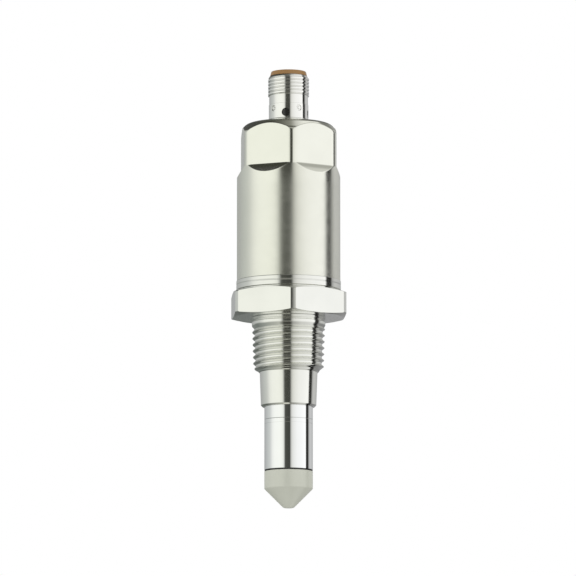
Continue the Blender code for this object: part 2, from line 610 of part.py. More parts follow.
def make_main_board(parent, material):
    """Upright board with a tongue that stands in the electrode's slotted end."""
    half = BOARD_WIDTH / 2
    tongue = TONGUE_WIDTH / 2
    face = -BOARD_THICKNESS / 2
    outline = [
        (-half, face, 0.0),
        (-tongue, face, 0.0),
        (-tongue, face, -TONGUE_LENGTH),
        (tongue, face, -TONGUE_LENGTH),
        (tongue, face, 0.0),
        (half, face, 0.0),
        (half, face, BOARD_LENGTH),
        (-half, face, BOARD_LENGTH),
    ]
    add_object("main_board", extruded(outline, BOARD_THICKNESS), material, parent, smooth=False)


def make_board_parts(parent, dark, ferrite, can):
    """Chips and inductor on the front of the main board, two capacitors on its back."""
    face = BOARD_THICKNESS / 2 + FINE_GAP
    edge = BOARD_WIDTH / 2 - PART_MARGIN
    front_parts = [
        ("processor_chip", block(PROCESSOR_SIDE, PROCESSOR_SIDE, PROCESSOR_HEIGHT), dark,
         edge - PROCESSOR_SIDE / 2, PROCESSOR_PLACE),
        ("driver_chip", block(DRIVER_WIDTH, DRIVER_LENGTH, DRIVER_HEIGHT), dark,
         DRIVER_WIDTH / 2 - edge, DRIVER_PLACE),
        ("inductor", rod(INDUCTOR_DIAMETER, INDUCTOR_HEIGHT, SMALL_SIDES), ferrite,
         INDUCTOR_DIAMETER / 2 - edge, INDUCTOR_PLACE),
    ]
    for name, builder, material, across, up in front_parts:
        part = add_object(name, builder, material, parent, (across, face, up))
        part.rotation_euler = (-math.pi / 2, 0.0, 0.0)
    for index, across in enumerate((-CAPACITOR_SPACING / 2, CAPACITOR_SPACING / 2)):
        builder = rod(CAPACITOR_DIAMETER, CAPACITOR_HEIGHT, SMALL_SIDES)
        part = add_object(f"capacitor_{index + 1}", builder, can, parent, (across, -face, CAPACITOR_PLACE))
        part.rotation_euler = (math.pi / 2, 0.0, 0.0)


def make_ground_spring(parent, material):
    """Sprung strip soldered to the back of the board, with its bent end on the housing's bore."""
    face = -(BOARD_THICKNESS / 2 + FINE_GAP + SPRING_THICKNESS / 2)
    wall = -(BODY_BORE / 2 - FIT_GAP - SPRING_THICKNESS)
    path = [
        (face, SPRING_PLACE),
        (face, SPRING_PLACE + SPRING_FOOT_LENGTH),
        (face - SPRING_BEND, SPRING_PLACE + SPRING_FOOT_LENGTH + SPRING_BEND),
        (wall + SPRING_BEND, SPRING_PLACE + SPRING_FOOT_LENGTH + SPRING_BEND),
        (wall, SPRING_PLACE + SPRING_FOOT_LENGTH),
        (wall, SPRING_PLACE + SPRING_FOOT_LENGTH - SPRING_TAIL_LENGTH),
    ]
    builder = bent_strip(path, SPRING_THICKNESS, SPRING_WIDTH)
    add_object("ground_spring", builder, material, parent, smooth=False)


def make_holders(parent, material):
    """Two moulded discs that fit the housing's bore and grip the main board's lower and upper edges."""
    outer = BODY_BORE / 2 - FIT_GAP
    groove_width = BOARD_THICKNESS + 2 * FIT_GAP
    groove_height = 2 * HOLDER_GROOVE_DEPTH
    holders = [
        ("lower_holder", LOWER_HOLDER_BORE, LOWER_HOLDER_FOOT, HOLDER_THICKNESS - HOLDER_GROOVE_DEPTH),
        ("upper_holder", UPPER_HOLDER_BORE, UPPER_HOLDER_FOOT, HOLDER_GROOVE_DEPTH - groove_height),
    ]
    for name, bore, foot, groove_foot in holders:
        outline = [(bore / 2, HOLDER_THICKNESS), (outer, HOLDER_THICKNESS), (outer, 0.0), (bore / 2, 0.0)]
        holder = add_object(name, turned(outline, LARGE_SIDES), material, parent)
        holder.location = (0.0, 0.0, foot - BOARD_FOOT)
        groove = block(BOARD_WIDTH + 2 * FIT_GAP, groove_width, groove_height)
        cut(holder, f"{name}_groove", groove, (0.0, 0.0, groove_foot))


def make_insulating_sleeve(parent, material):
    """Plastic sleeve in the fitting's bore, hung by its flange in the recess, down to the tip's spigot."""
    outer = FITTING_BORE / 2 - FIT_GAP
    bore = ROD_DIAMETER / 2 + FIT_GAP
    flange = FITTING_BORE / 2 + INSULATOR_FLANGE_WIDTH
    flange_foot = RECESS_FLOOR + FIT_GAP
    flange_top = flange_foot + INSULATOR_FLANGE_THICKNESS
    foot = TIP_TOP + INSULATOR_END_GAP
    narrow = min(outer - FIT_GAP, TIP_BORE / 2 - FIT_GAP)
    narrow_top = TIP_TOP + TIP_SPIGOT_LENGTH + INSULATOR_END_GAP
    outline = [
        (bore, flange_top),
        (flange, flange_top),
        (flange, flange_foot),
        (outer, flange_foot),
        (outer, narrow_top + FIT_GAP),
        (narrow, narrow_top),
        (narrow, foot),
        (bore, foot),
    ]
    add_object("insulating_sleeve", turned(outline, MEDIUM_SIDES), material, parent)


def cone_apex(wall):
    """Height on the axis of a cone that runs parallel to the tip's outer cone, this far inside it."""
    outer_apex = TIP_CONE_TOP - TUBE_DIAMETER / 2 / math.tan(TIP_CONE_ANGLE)
    return outer_apex + wall / math.sin(TIP_CONE_ANGLE)


def make_inner_electrode(parent, material):
    """Brass rod with a conical head in the tip's cavity and a slot at its top for the board's tongue."""
    head = TIP_BORE / 2 - FIT_GAP
    shaft = ROD_DIAMETER / 2
    head_top = TIP_TOP + INSULATOR_END_GAP - FIT_GAP
    apex = cone_apex(TIP_WALL + FIT_GAP)
    slope = math.tan(TIP_CONE_ANGLE)
    outline = [
        (0.0, ROD_TOP),
        (shaft, ROD_TOP),
        (shaft, head_top),
        (head, head_top),
        (head, apex + head / slope),
        (CAVITY_END_RADIUS, apex + CAVITY_END_RADIUS / slope),
        (0.0, apex + CAVITY_END_RADIUS / slope),
    ]
    electrode = add_object("inner_electrode", turned(outline, MEDIUM_SIDES), material, parent)
    slot = block(2 * ROD_DIAMETER, BOARD_THICKNESS + 2 * FINE_GAP, 2 * ROD_SLOT_DEPTH)
    cut(electrode, "board_slot", slot, (0.0, 0.0, ROD_TOP - ROD_SLOT_DEPTH))


def make_probe_tube(parent, material):
    """Polished tube; its spigot stands in the stem's socket."""
    outer = TUBE_DIAMETER / 2
    bore = TUBE_BORE / 2
    spigot = TUBE_SPIGOT_DIAMETER / 2
    spigot_bore = TUBE_SPIGOT_BORE / 2
    outline = [
        (spigot_bore, TUBE_TOP + TUBE_SPIGOT_LENGTH),
        (spigot, TUBE_TOP + TUBE_SPIGOT_LENGTH),
        (spigot, TUBE_TOP),
        (outer, TUBE_TOP),
        (outer, TUBE_FOOT),
        (bore, TUBE_FOOT),
        (bore, TUBE_TOP - TUBE_WALL),
        (spigot_bore, TUBE_TOP - TUBE_WALL),
    ]
    local = [(radius, height - TUBE_FOOT) for radius, height in outline]
    tube = add_object("probe_tube", turned(local, LARGE_SIDES), material, parent)
    tube.location = (0.0, 0.0, TUBE_FOOT)


def make_tip_seal(parent, material):
    """Thin flat ring clamped between tube and tip."""
    outer = TUBE_DIAMETER / 2
    bore = TIP_SPIGOT_DIAMETER / 2 + SEAL_GAP
    outline = [(bore, 0.0), (outer, 0.0), (outer, -SEAL_THICKNESS), (bore, -SEAL_THICKNESS)]
    seal = add_object("tip_seal", turned(outline, LARGE_SIDES), material, parent)
    seal.location = (0.0, 0.0, SEAL_TOP)


def make_sensing_tip(parent, material):
    """Plastic tip: spigot in the tube, cylinder and cone, with a cavity of even wall for the electrode."""
    outer = TUBE_DIAMETER / 2
    spigot = TIP_SPIGOT_DIAMETER / 2
    bore = TIP_BORE / 2
    end_radius = TIP_END_DIAMETER / 2
    slope = math.tan(TIP_CONE_ANGLE)
    apex = cone_apex(TIP_WALL)
    outline = [
        (bore, TIP_TOP + TIP_SPIGOT_LENGTH),
        (spigot, TIP_TOP + TIP_SPIGOT_LENGTH),
        (spigot, TIP_TOP),
        (outer, TIP_TOP),
        (outer, TIP_CONE_TOP),
        (end_radius + TIP_EDGE / 2, TIP_END + TIP_EDGE / 2 / slope),
        (end_radius - TIP_EDGE / 2, TIP_END),
        (0.0, TIP_END),
        (0.0, apex + CAVITY_END_RADIUS / slope),
        (CAVITY_END_RADIUS, apex + CAVITY_END_RADIUS / slope),
        (bore, apex + bore / slope),
    ]
    local = [(radius, height - TIP_TOP) for radius, height in outline]
    tip = add_object("sensing_tip", turned(local, LARGE_SIDES), material, parent)
    tip.location = (0.0, 0.0, TIP_TOP)


def build():
    clear_scene()
    brushed = steel("steel_turned", 0.30)
    polished = steel("steel_polished", 0.12)
    bright = steel("steel_bright", 0.18)
    amber = finish_material("amber_plastic", (0.42, 0.17, 0.05), 0.35, 0.0)
    smoked = finish_material("smoked_window", (0.02, 0.02, 0.015), 0.15, 0.0)
    clear = finish_material("light_guide", (0.85, 0.87, 0.85), 0.10, 0.0)
    lamp = finish_material("status_lamp", (0.80, 0.85, 0.40), 0.30, 0.0)
    black = finish_material("seal_rubber", (0.015, 0.015, 0.015), 0.60, 0.0)
    beige = finish_material("tip_plastic", (0.54, 0.55, 0.46), 0.45, 0.0)
    gold = finish_material("gold_plating", (0.90, 0.65, 0.25), 0.20, 1.0)
    brass = finish_material("electrode_brass", (0.80, 0.62, 0.30), 0.30, 1.0)
    board = finish_material("circuit_board", (0.03, 0.22, 0.10), 0.50, 0.0)
    dark = finish_material("chip_black", (0.02, 0.02, 0.02), 0.50, 0.0)
    ferrite = finish_material("ferrite", (0.08, 0.08, 0.09), 0.60, 0.0)
    can = finish_material("capacitor_can", (0.65, 0.66, 0.68), 0.35, 1.0)
    white = finish_material("holder_plastic", (0.75, 0.75, 0.72), 0.50, 0.0)
    film = finish_material("link_film", (0.60, 0.30, 0.05), 0.40, 0.0)
    spring = finish_material("spring_bronze", (0.75, 0.50, 0.25), 0.30, 1.0)

    sensor = group("sensor")
    make_process_fitting(sensor, brushed)
    make_probe_tube(sensor, polished)
    make_tip_seal(sensor, black)
    make_sensing_tip(sensor, beige)
    make_insulating_sleeve(sensor, white)
    make_inner_electrode(sensor, brass)

    body = group("body", BODY_FOOT, sensor)
    make_housing(body, brushed)

    connector = group("connector", SLEEVE_FOOT, sensor)
    make_connector_sleeve(connector, bright)
    make_status_windows(connector, smoked)
    make_contact_carrier(connector, amber)
    make_carrier_seal(connector, black)
    make_contact_pins(connector, gold)
    make_light_ring(connector, clear)
    make_status_board(connector, board)
    make_status_leds(connector, lamp)

    electronics = group("electronics", BOARD_FOOT, sensor)
    make_main_board(electronics, board)
    make_board_parts(electronics, dark, ferrite, can)
    make_board_link(electronics, film)
    make_ground_spring(electronics, spring)
    make_holders(electronics, white)


build()
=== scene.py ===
"""Point level sensor: the finished surfaces of its turned, milled and moulded pieces, in a plain studio.

All lengths are in metres in the sensor's own frame: +Z runs up the axis to the plug, and z = 0 is the underside
of the hex flange.
"""

import json
import math

import bpy
import numpy as np
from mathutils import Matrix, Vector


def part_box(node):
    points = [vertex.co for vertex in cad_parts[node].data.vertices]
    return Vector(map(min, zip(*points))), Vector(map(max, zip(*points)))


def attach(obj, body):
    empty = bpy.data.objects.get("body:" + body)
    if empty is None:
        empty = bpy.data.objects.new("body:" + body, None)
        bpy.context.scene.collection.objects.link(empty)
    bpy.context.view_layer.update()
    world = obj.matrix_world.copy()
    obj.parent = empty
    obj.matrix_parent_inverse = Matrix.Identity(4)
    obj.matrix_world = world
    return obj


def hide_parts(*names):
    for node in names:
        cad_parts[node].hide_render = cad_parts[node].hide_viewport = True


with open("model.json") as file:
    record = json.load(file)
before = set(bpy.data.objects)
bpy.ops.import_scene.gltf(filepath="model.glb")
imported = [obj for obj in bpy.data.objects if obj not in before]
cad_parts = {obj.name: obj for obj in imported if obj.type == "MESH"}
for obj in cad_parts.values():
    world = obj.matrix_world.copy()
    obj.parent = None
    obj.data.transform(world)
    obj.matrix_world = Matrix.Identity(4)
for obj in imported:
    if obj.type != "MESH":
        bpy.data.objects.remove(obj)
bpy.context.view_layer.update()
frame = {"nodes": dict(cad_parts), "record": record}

MM = 0.001

# Heights and radii read from the frame
STEM_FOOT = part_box("process_fitting")[0].z
SPIGOT_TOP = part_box("process_fitting")[1].z
HEX_TURNED_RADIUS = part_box("process_fitting")[1].y
HEX_FLAT_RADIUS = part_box("process_fitting")[1].x
BODY_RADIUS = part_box("housing")[1].x
BODY_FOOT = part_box("housing")[0].z
SLEEVE_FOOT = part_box("connector_sleeve")[0].z
SLEEVE_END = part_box("connector_sleeve")[1].z
PLUG_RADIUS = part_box("connector_sleeve")[1].x
CARRIER_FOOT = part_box("contact_carrier")[0].z
CARRIER_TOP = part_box("contact_carrier")[1].z
RIM_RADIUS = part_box("contact_carrier")[1].x
PIN_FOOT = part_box("contact_pin_1")[0].z
PIN_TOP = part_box("contact_pin_1")[1].z
TUBE_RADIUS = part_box("probe_tube")[1].x
TUBE_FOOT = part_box("probe_tube")[0].z
TUBE_SPIGOT_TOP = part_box("probe_tube")[1].z
SEAL_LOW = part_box("tip_seal")[0].z
SEAL_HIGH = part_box("tip_seal")[1].z
TIP_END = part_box("sensing_tip")[0].z
TIP_SPIGOT_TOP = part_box("sensing_tip")[1].z

# Housing
SHOULDER_HEIGHT = 53.7 * MM
SHOULDER_WIDTH = 2.58 * MM
SHOULDER_SLOPE = math.radians(48.3)
SHOULDER_FOOT_RADIUS = 2.0 * MM
SHOULDER_RADIUS = 3.0 * MM
CROWN_SLOPE = math.radians(10.0)
BODY_WALL = 3.0 * MM
CROWN_WALL = 1.8 * MM
FLAT_DEPTH = 1.6 * MM
FLAT_EDGE = 0.45 * MM
FLAT_FOOT = 43.5 * MM
LEDGE_HEIGHT = 2.5 * MM
LEDGE_RUN_OUT = 0.6
HEX_TURN = math.radians(30.0)

THREAD_FLANK = math.radians(55.0)

# Process fitting
HEX_THICKNESS = 7.5 * MM
TOP_CHAMFER = math.radians(20.0)
FOOT_CHAMFER = math.radians(14.0)
UNDERCUT_HEIGHT = 0.5 * MM
UNDERCUT_DEPTH = 0.3 * MM
WELD_RING_STAND_OUT = 0.15 * MM
NECK_RADIUS = 10.7 * MM
NECK_LENGTH = 2.0 * MM
TAPER_RADIUS = 10.65 * MM
TAPER_PITCH = 1.814 * MM
TAPER_DEPTH = 0.74 * MM
TAPER_LIFT = 0.34 * MM
TAPER_LENGTH = 12.8 * MM
TAPER = 1.0 / 16.0
END_CHAMFER_HEIGHT = 1.1 * MM
STEM_TOP_RADIUS = 8.35 * MM
STEM_FOOT_RADIUS = 8.0 * MM
STEM_CHAMFER = 0.45 * MM

# Connector
COLLAR_HEIGHT = 4.6 * MM
PLUG_PITCH = 1.0 * MM
PLUG_DEPTH = 0.34 * MM
PLUG_CREST = 0.50 * MM
PLUG_LENGTH = 5.1 * MM
PLUG_CHAMFER = 0.7 * MM
PLUG_CHAMFER_WIDTH = 0.5 * MM
COLLAR_RADIUS = PLUG_RADIUS - 0.2 * MM
SLEEVE_NECK_RADIUS = PLUG_RADIUS - 0.30 * MM
SLEEVE_NECK_LENGTH = 2.7 * MM
SLEEVE_BORE = PLUG_RADIUS - 1.1 * MM
WINDOW_RADIUS = 1.2 * MM
WINDOW_DROP = 2.73 * MM
WINDOW_AZIMUTH = math.radians(-102.7)
MARK_RADIUS = 0.88 * MM
MARK_DROP = 1.35 * MM
MARK_TURN = math.radians(40.5)
CUP_DEPTH = 7.8 * MM
CUP_RADIUS = 4.2 * MM
RIM_LEAN = 0.3 * MM
PIN_RADIUS = 0.5 * MM
PIN_CIRCLE = 2.5 * MM

THREAD_TOP = -NECK_LENGTH
THREAD_END = THREAD_TOP - TAPER_LENGTH
STEM_TOP = THREAD_END - END_CHAMFER_HEIGHT
PLUG_TOP = SLEEVE_END - PLUG_CHAMFER
PLUG_FOOT = PLUG_TOP - PLUG_LENGTH
COLLAR_TOP = PLUG_FOOT - SLEEVE_NECK_LENGTH
SLEEVE_SEAT = COLLAR_TOP - COLLAR_HEIGHT

ROUND = 256
SECTOR = math.pi / 3
SECTOR_STEPS = 32


class Shell:
    """Collects grids of points, each with its own normal, and turns them into one object."""

    def __init__(self):
        self.points = []
        self.normals = []
        self.faces = []
        self.count = 0

    def grid(self, points, normals, closed=True):
        """Add rows of points; a closed grid joins its last column to its first."""
        rows, columns = points.shape[:2]
        index = np.arange(rows * columns).reshape(rows, columns) + self.count
        across = np.roll(index, -1, axis=1) if closed else index[:, 1:]
        base = index if closed else index[:, :-1]
        quads = np.stack([base[:-1], across[:-1], across[1:], base[1:]], axis=-1).reshape(-1, 4)
        flat = points.reshape(-1, 3)
        local = quads - self.count
        span = np.cross(flat[local[:, 2]] - flat[local[:, 0]], flat[local[:, 3]] - flat[local[:, 1]])
        facing = np.einsum("ij,ij->i", span, normals.reshape(-1, 3)[local[:, 0]])
        if facing.sum() < 0:
            quads = quads[:, ::-1]
        corners = flat[quads - self.count]
        distinct = np.linalg.norm(corners - np.roll(corners, 1, axis=1), axis=2) > 1e-9
        for quad, keep in zip(quads[distinct.sum(axis=1) > 2], distinct[distinct.sum(axis=1) > 2]):
            self.faces.append(quad[keep].tolist())
        self.points.append(flat)
        self.normals.append(normals.reshape(-1, 3))
        self.count += rows * columns

    def cap(self, ring, normal):
        """Close a ring of points with one flat face."""
        order = np.arange(len(ring)) + self.count
        middle = ring.mean(axis=0)
        turn = np.cross(ring[0] - middle, ring[1] - middle) @ np.asarray(normal)
        self.faces.append((order if turn > 0 else order[::-1]).tolist())
        self.points.append(ring)
        self.normals.append(np.tile(normal, (len(ring), 1)))
        self.count += len(ring)

    def make(self, name, material, slot, *nodes):
        """The finished object: it stands for CAD nodes and rides on the sensor's one body."""
        used = np.zeros(self.count, dtype=bool)
        for face in self.faces:
            used[face] = True
        place = np.cumsum(used) - 1
        faces = [place[face].tolist() for face in self.faces]
        mesh = bpy.data.meshes.new(name)
        mesh.from_pydata(np.concatenate(self.points)[used].tolist(), [], faces)
        mesh.shade_smooth()
        normals = np.concatenate(self.normals)[used]
        normals /= np.linalg.norm(normals, axis=1)[:, None]
        mesh.normals_split_custom_set_from_vertices(normals.tolist())
        mesh.materials.append(material)
        piece = bpy.data.objects.new(name, mesh)
        bpy.context.scene.collection.objects.link(piece)
        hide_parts(*nodes)
        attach(piece, "root")
        return piece


def outline(points, rounding=0.0, steps=4):
    """Runs of (radius, height, normal) rows along a closed or open outline with rounded corners.

    A point is (radius, height) or (radius, height, corner radius). The outside is on the left of the way down.
    """
    places = [np.array(point[:2]) for point in points]
    radii = [point[2] if len(point) > 2 else rounding for point in points]
    runs = [[]]

    def add(place, normal):
        runs[-1].append((place[0], place[1], normal[0], normal[1]))

    for index in range(len(places) - 1):
        start, end = places[index], places[index + 1]
        along = (end - start) / np.linalg.norm(end - start)
        normal = np.array((-along[1], along[0]))
        if index == 0:
            add(start, normal)
        if index + 2 == len(places):
            add(end, normal)
            break
        after = places[index + 2] - end
        onward = after / np.linalg.norm(after)
        turn = math.atan2(along[0] * onward[1] - along[1] * onward[0], along @ onward)
        if radii[index + 1] == 0.0 or abs(turn) < 1e-4:
            add(end, normal)
            if abs(turn) >= 1e-4:
                runs.append([])
                add(end, (-onward[1], onward[0]))
            continue
        room = min(np.linalg.norm(end - start), np.linalg.norm(after)) * 0.45
        reach = min(radii[index + 1] * math.tan(abs(turn) / 2), room)
        radius = reach / math.tan(abs(turn) / 2)
        centre = end - along * reach - normal * radius * -math.copysign(1.0, turn)
        for step in range(steps + 1):
            angle = turn * step / steps
            spun = np.array((
                normal[0] * math.cos(angle) - normal[1] * math.sin(angle),
                normal[0] * math.sin(angle) + normal[1] * math.cos(angle),
            ))
            add(centre - spun * radius * math.copysign(1.0, turn), spun)
    return [np.array(run) for run in runs if len(run) > 1]


def round_angles(count=ROUND):
    return np.arange(count) * math.tau / count


def spun(rows, angles):
    """Points and normals of outline rows turned round the axis."""
    cosine, sine = np.cos(angles), np.sin(angles)
    radius, height, out, up = (rows[:, i][:, None] for i in range(4))
    points = np.stack([radius * cosine, radius * sine, height + 0 * cosine], axis=-1)
    normals = np.stack([out * cosine, out * sine, up + 0 * cosine], axis=-1)
    return points, normals


def turn_runs(shell, runs, angles):
    for rows in runs:
        shell.grid(*spun(rows, angles))


def sector_angles():
    """Angles round the axis in six equal sectors that start at the middles of the hexagon's flats."""
    return HEX_TURN + SECTOR / 2 + np.arange(6 * SECTOR_STEPS) * SECTOR / SECTOR_STEPS


def smooth_less(a, b, width):
    """The lesser of two values with a rounded corner."""
    share = np.clip(0.5 + 0.5 * (b - a) / width, 0.0, 1.0)
    return b + (a - b) * share - width * share * (1.0 - share)


def milled(shell, rows, flat, edge, foot=-1.0, lean=0.0):
    """Turned rows cut back by six flats at a distance from the axis that grows by lean below a foot.

    Each row's columns are spread so that the edges of the flats run along them. The normals turn over an
    edge where one surface stands out from the other by less than the edge's size.
    """

    def distance(height):
        return flat + np.maximum(foot - height, 0.0) * lean

    dense = [rows[0]]
    for before, after in zip(rows[:-1], rows[1:]):
        count = int(np.ceil(abs(after[0] - before[0]) / (0.15 * MM)))
        shares = [1.0] + [step / count for step in range(1, count)]
        for reach in np.cos(np.radians(np.arange(0.0, 30.0, 1.5))):
            first = before[0] * reach - distance(before[1])
            last = after[0] * reach - distance(after[1])
            if first * last < 0.0:
                shares.append(first / (first - last))
        dense += [before + (after - before) * share for share in sorted(shares)]
    rows = np.array(dense)
    radius, height, out, up = (rows[:, i][:, None] for i in range(4))
    reach = distance(height)
    half = np.arccos(np.clip(reach / radius, -1.0, 1.0))
    across = half * np.sin(np.linspace(-math.pi / 2, math.pi / 2, SECTOR_STEPS + 1))
    beyond = half + (SECTOR - 2 * half) * np.linspace(0.0, 1.0, 17)[1:-1]
    offset = np.concatenate([across, beyond], axis=1)
    own = np.where(offset > SECTOR / 2, offset - SECTOR, offset)
    stands_out = radius * np.cos(own) - reach
    softness = np.where(height < foot, 0.25 * edge, edge * (1.0 - 0.7 * np.minimum(2 * np.abs(up), 1.0)))
    share = np.clip(0.5 + stands_out / (2 * softness), 0.0, 1.0)
    run_out = 1.0 - LEDGE_RUN_OUT * np.clip((foot - height) / LEDGE_HEIGHT, 0.0, 1.0)
    tilt = lean * run_out * np.clip(0.5 + (foot - height) / edge, 0.0, 1.0)
    size = np.hypot(1.0, tilt)
    cut_radius = np.minimum(radius, reach / np.cos(own))
    points, normals = [], []
    for index in range(6):
        angle = HEX_TURN + SECTOR / 2 + index * SECTOR + offset
        middle = angle - own
        points.append(np.stack([cut_radius * np.cos(angle), cut_radius * np.sin(angle), height + 0 * angle], axis=-1))
        turned = np.stack([out * np.cos(angle), out * np.sin(angle), up + 0 * angle], axis=-1)
        flat_normal = np.stack([np.cos(middle) / size, np.sin(middle) / size, tilt / size + 0 * angle], axis=-1)
        normals.append(turned * (1.0 - share[..., None]) + flat_normal * share[..., None])
    shell.grid(np.concatenate(points, axis=1), np.concatenate(normals, axis=1))


def thread_surface(major, depth, pitch, crest, corner, lift, fade_high, fade_low):
    """A function of angle and height that gives the radius of a right-handed thread with soft corners.

    major is the outer radius by height, lift raises the crests, and fade_high and fade_low give the share
    of the depth near each end.
    """
    slope = math.tan(THREAD_FLANK)

    def radius(angle, height):
        place = (height - lift) / pitch - angle / math.tau
        away = np.abs(place - np.round(place)) * pitch
        cut = smooth_less((crest / 2 - away) * slope, 0.0 * away, corner)
        share = fade_high(height) * fade_low(height)
        return major(height) - smooth_less(-cut, depth * share, corner * share + 1e-6)

    return radius


def add_thread(shell, radius, low, high, pitch, angles, steps=14):
    """A grid whose rows follow the thread's helix, ended square at both heights."""
    turns = (high - low) / pitch
    places = np.arange(-steps, int(math.ceil(turns) + 1) * steps + 1) / steps
    angle = np.append(angles, angles[0] + math.tau)
    height = low + pitch * (places[:, None] + (angle - angles[0])[None, :] / math.tau)
    height = np.clip(height, low, high)
    angle = np.broadcast_to(angle, height.shape)
    nudge = 0.004 * MM
    value = radius(angle, height)
    along = (radius(angle, height + nudge) - radius(angle, height - nudge)) / (2 * nudge)
    turn = nudge / value
    around = (radius(angle + turn, height) - radius(angle - turn, height)) / (2 * nudge)
    cosine, sine = np.cos(angle), np.sin(angle)
    points = np.stack([value * cosine, value * sine, height], axis=-1)
    normals = np.stack([cosine + around * sine, sine - around * cosine, -along], axis=-1)
    shell.grid(points[::-1], normals[::-1], closed=False)


def ramp(height, start, end):
    """Rises smoothly from 0 at start to 1 at end."""
    share = np.clip((height - start) / (end - start), 0.0, 1.0)
    return share * share * (3.0 - 2.0 * share)


def make_housing(material):
    """Turned can with a conical shoulder, a sloping crown, six spanner flats and their sloping ledges."""
    shell = Shell()
    slope = math.tan(CROWN_SLOPE)
    corner_radius = BODY_RADIUS - SHOULDER_WIDTH
    corner_height = SHOULDER_HEIGHT + SHOULDER_WIDTH * math.tan(SHOULDER_SLOPE)
    hole = COLLAR_RADIUS - 0.35 * MM
    crown_top = corner_height + (corner_radius - hole) * slope
    flat = BODY_RADIUS - FLAT_DEPTH
    upper = [
        (hole, crown_top),
        (corner_radius, corner_height, SHOULDER_RADIUS),
        (BODY_RADIUS, SHOULDER_HEIGHT, SHOULDER_FOOT_RADIUS),
        (BODY_RADIUS, FLAT_FOOT + FLAT_EDGE / 2),
        (BODY_RADIUS, FLAT_FOOT),
        (BODY_RADIUS, FLAT_FOOT - FLAT_EDGE / 2),
        (BODY_RADIUS, FLAT_FOOT - LEDGE_HEIGHT),
    ]
    for rows in outline(upper, steps=12):
        milled(shell, rows, flat, FLAT_EDGE, FLAT_FOOT, FLAT_DEPTH / LEDGE_HEIGHT)
    angles = sector_angles()
    bore = BODY_RADIUS - BODY_WALL
    lower = [
        (BODY_RADIUS, FLAT_FOOT - LEDGE_HEIGHT),
        (BODY_RADIUS, BODY_FOOT, 0.0),
        (bore, BODY_FOOT, 0.0),
        (bore, SHOULDER_HEIGHT, 3.0 * MM),
        (bore - 3.0 * MM, corner_height - CROWN_WALL, 2.0 * MM),
        (hole, crown_top - CROWN_WALL, 0.0),
        (hole, crown_top, 0.0),
    ]
    turn_runs(shell, outline(lower, steps=6), angles)
    return shell.make("housing_shell", material, "steel_turned", "housing")


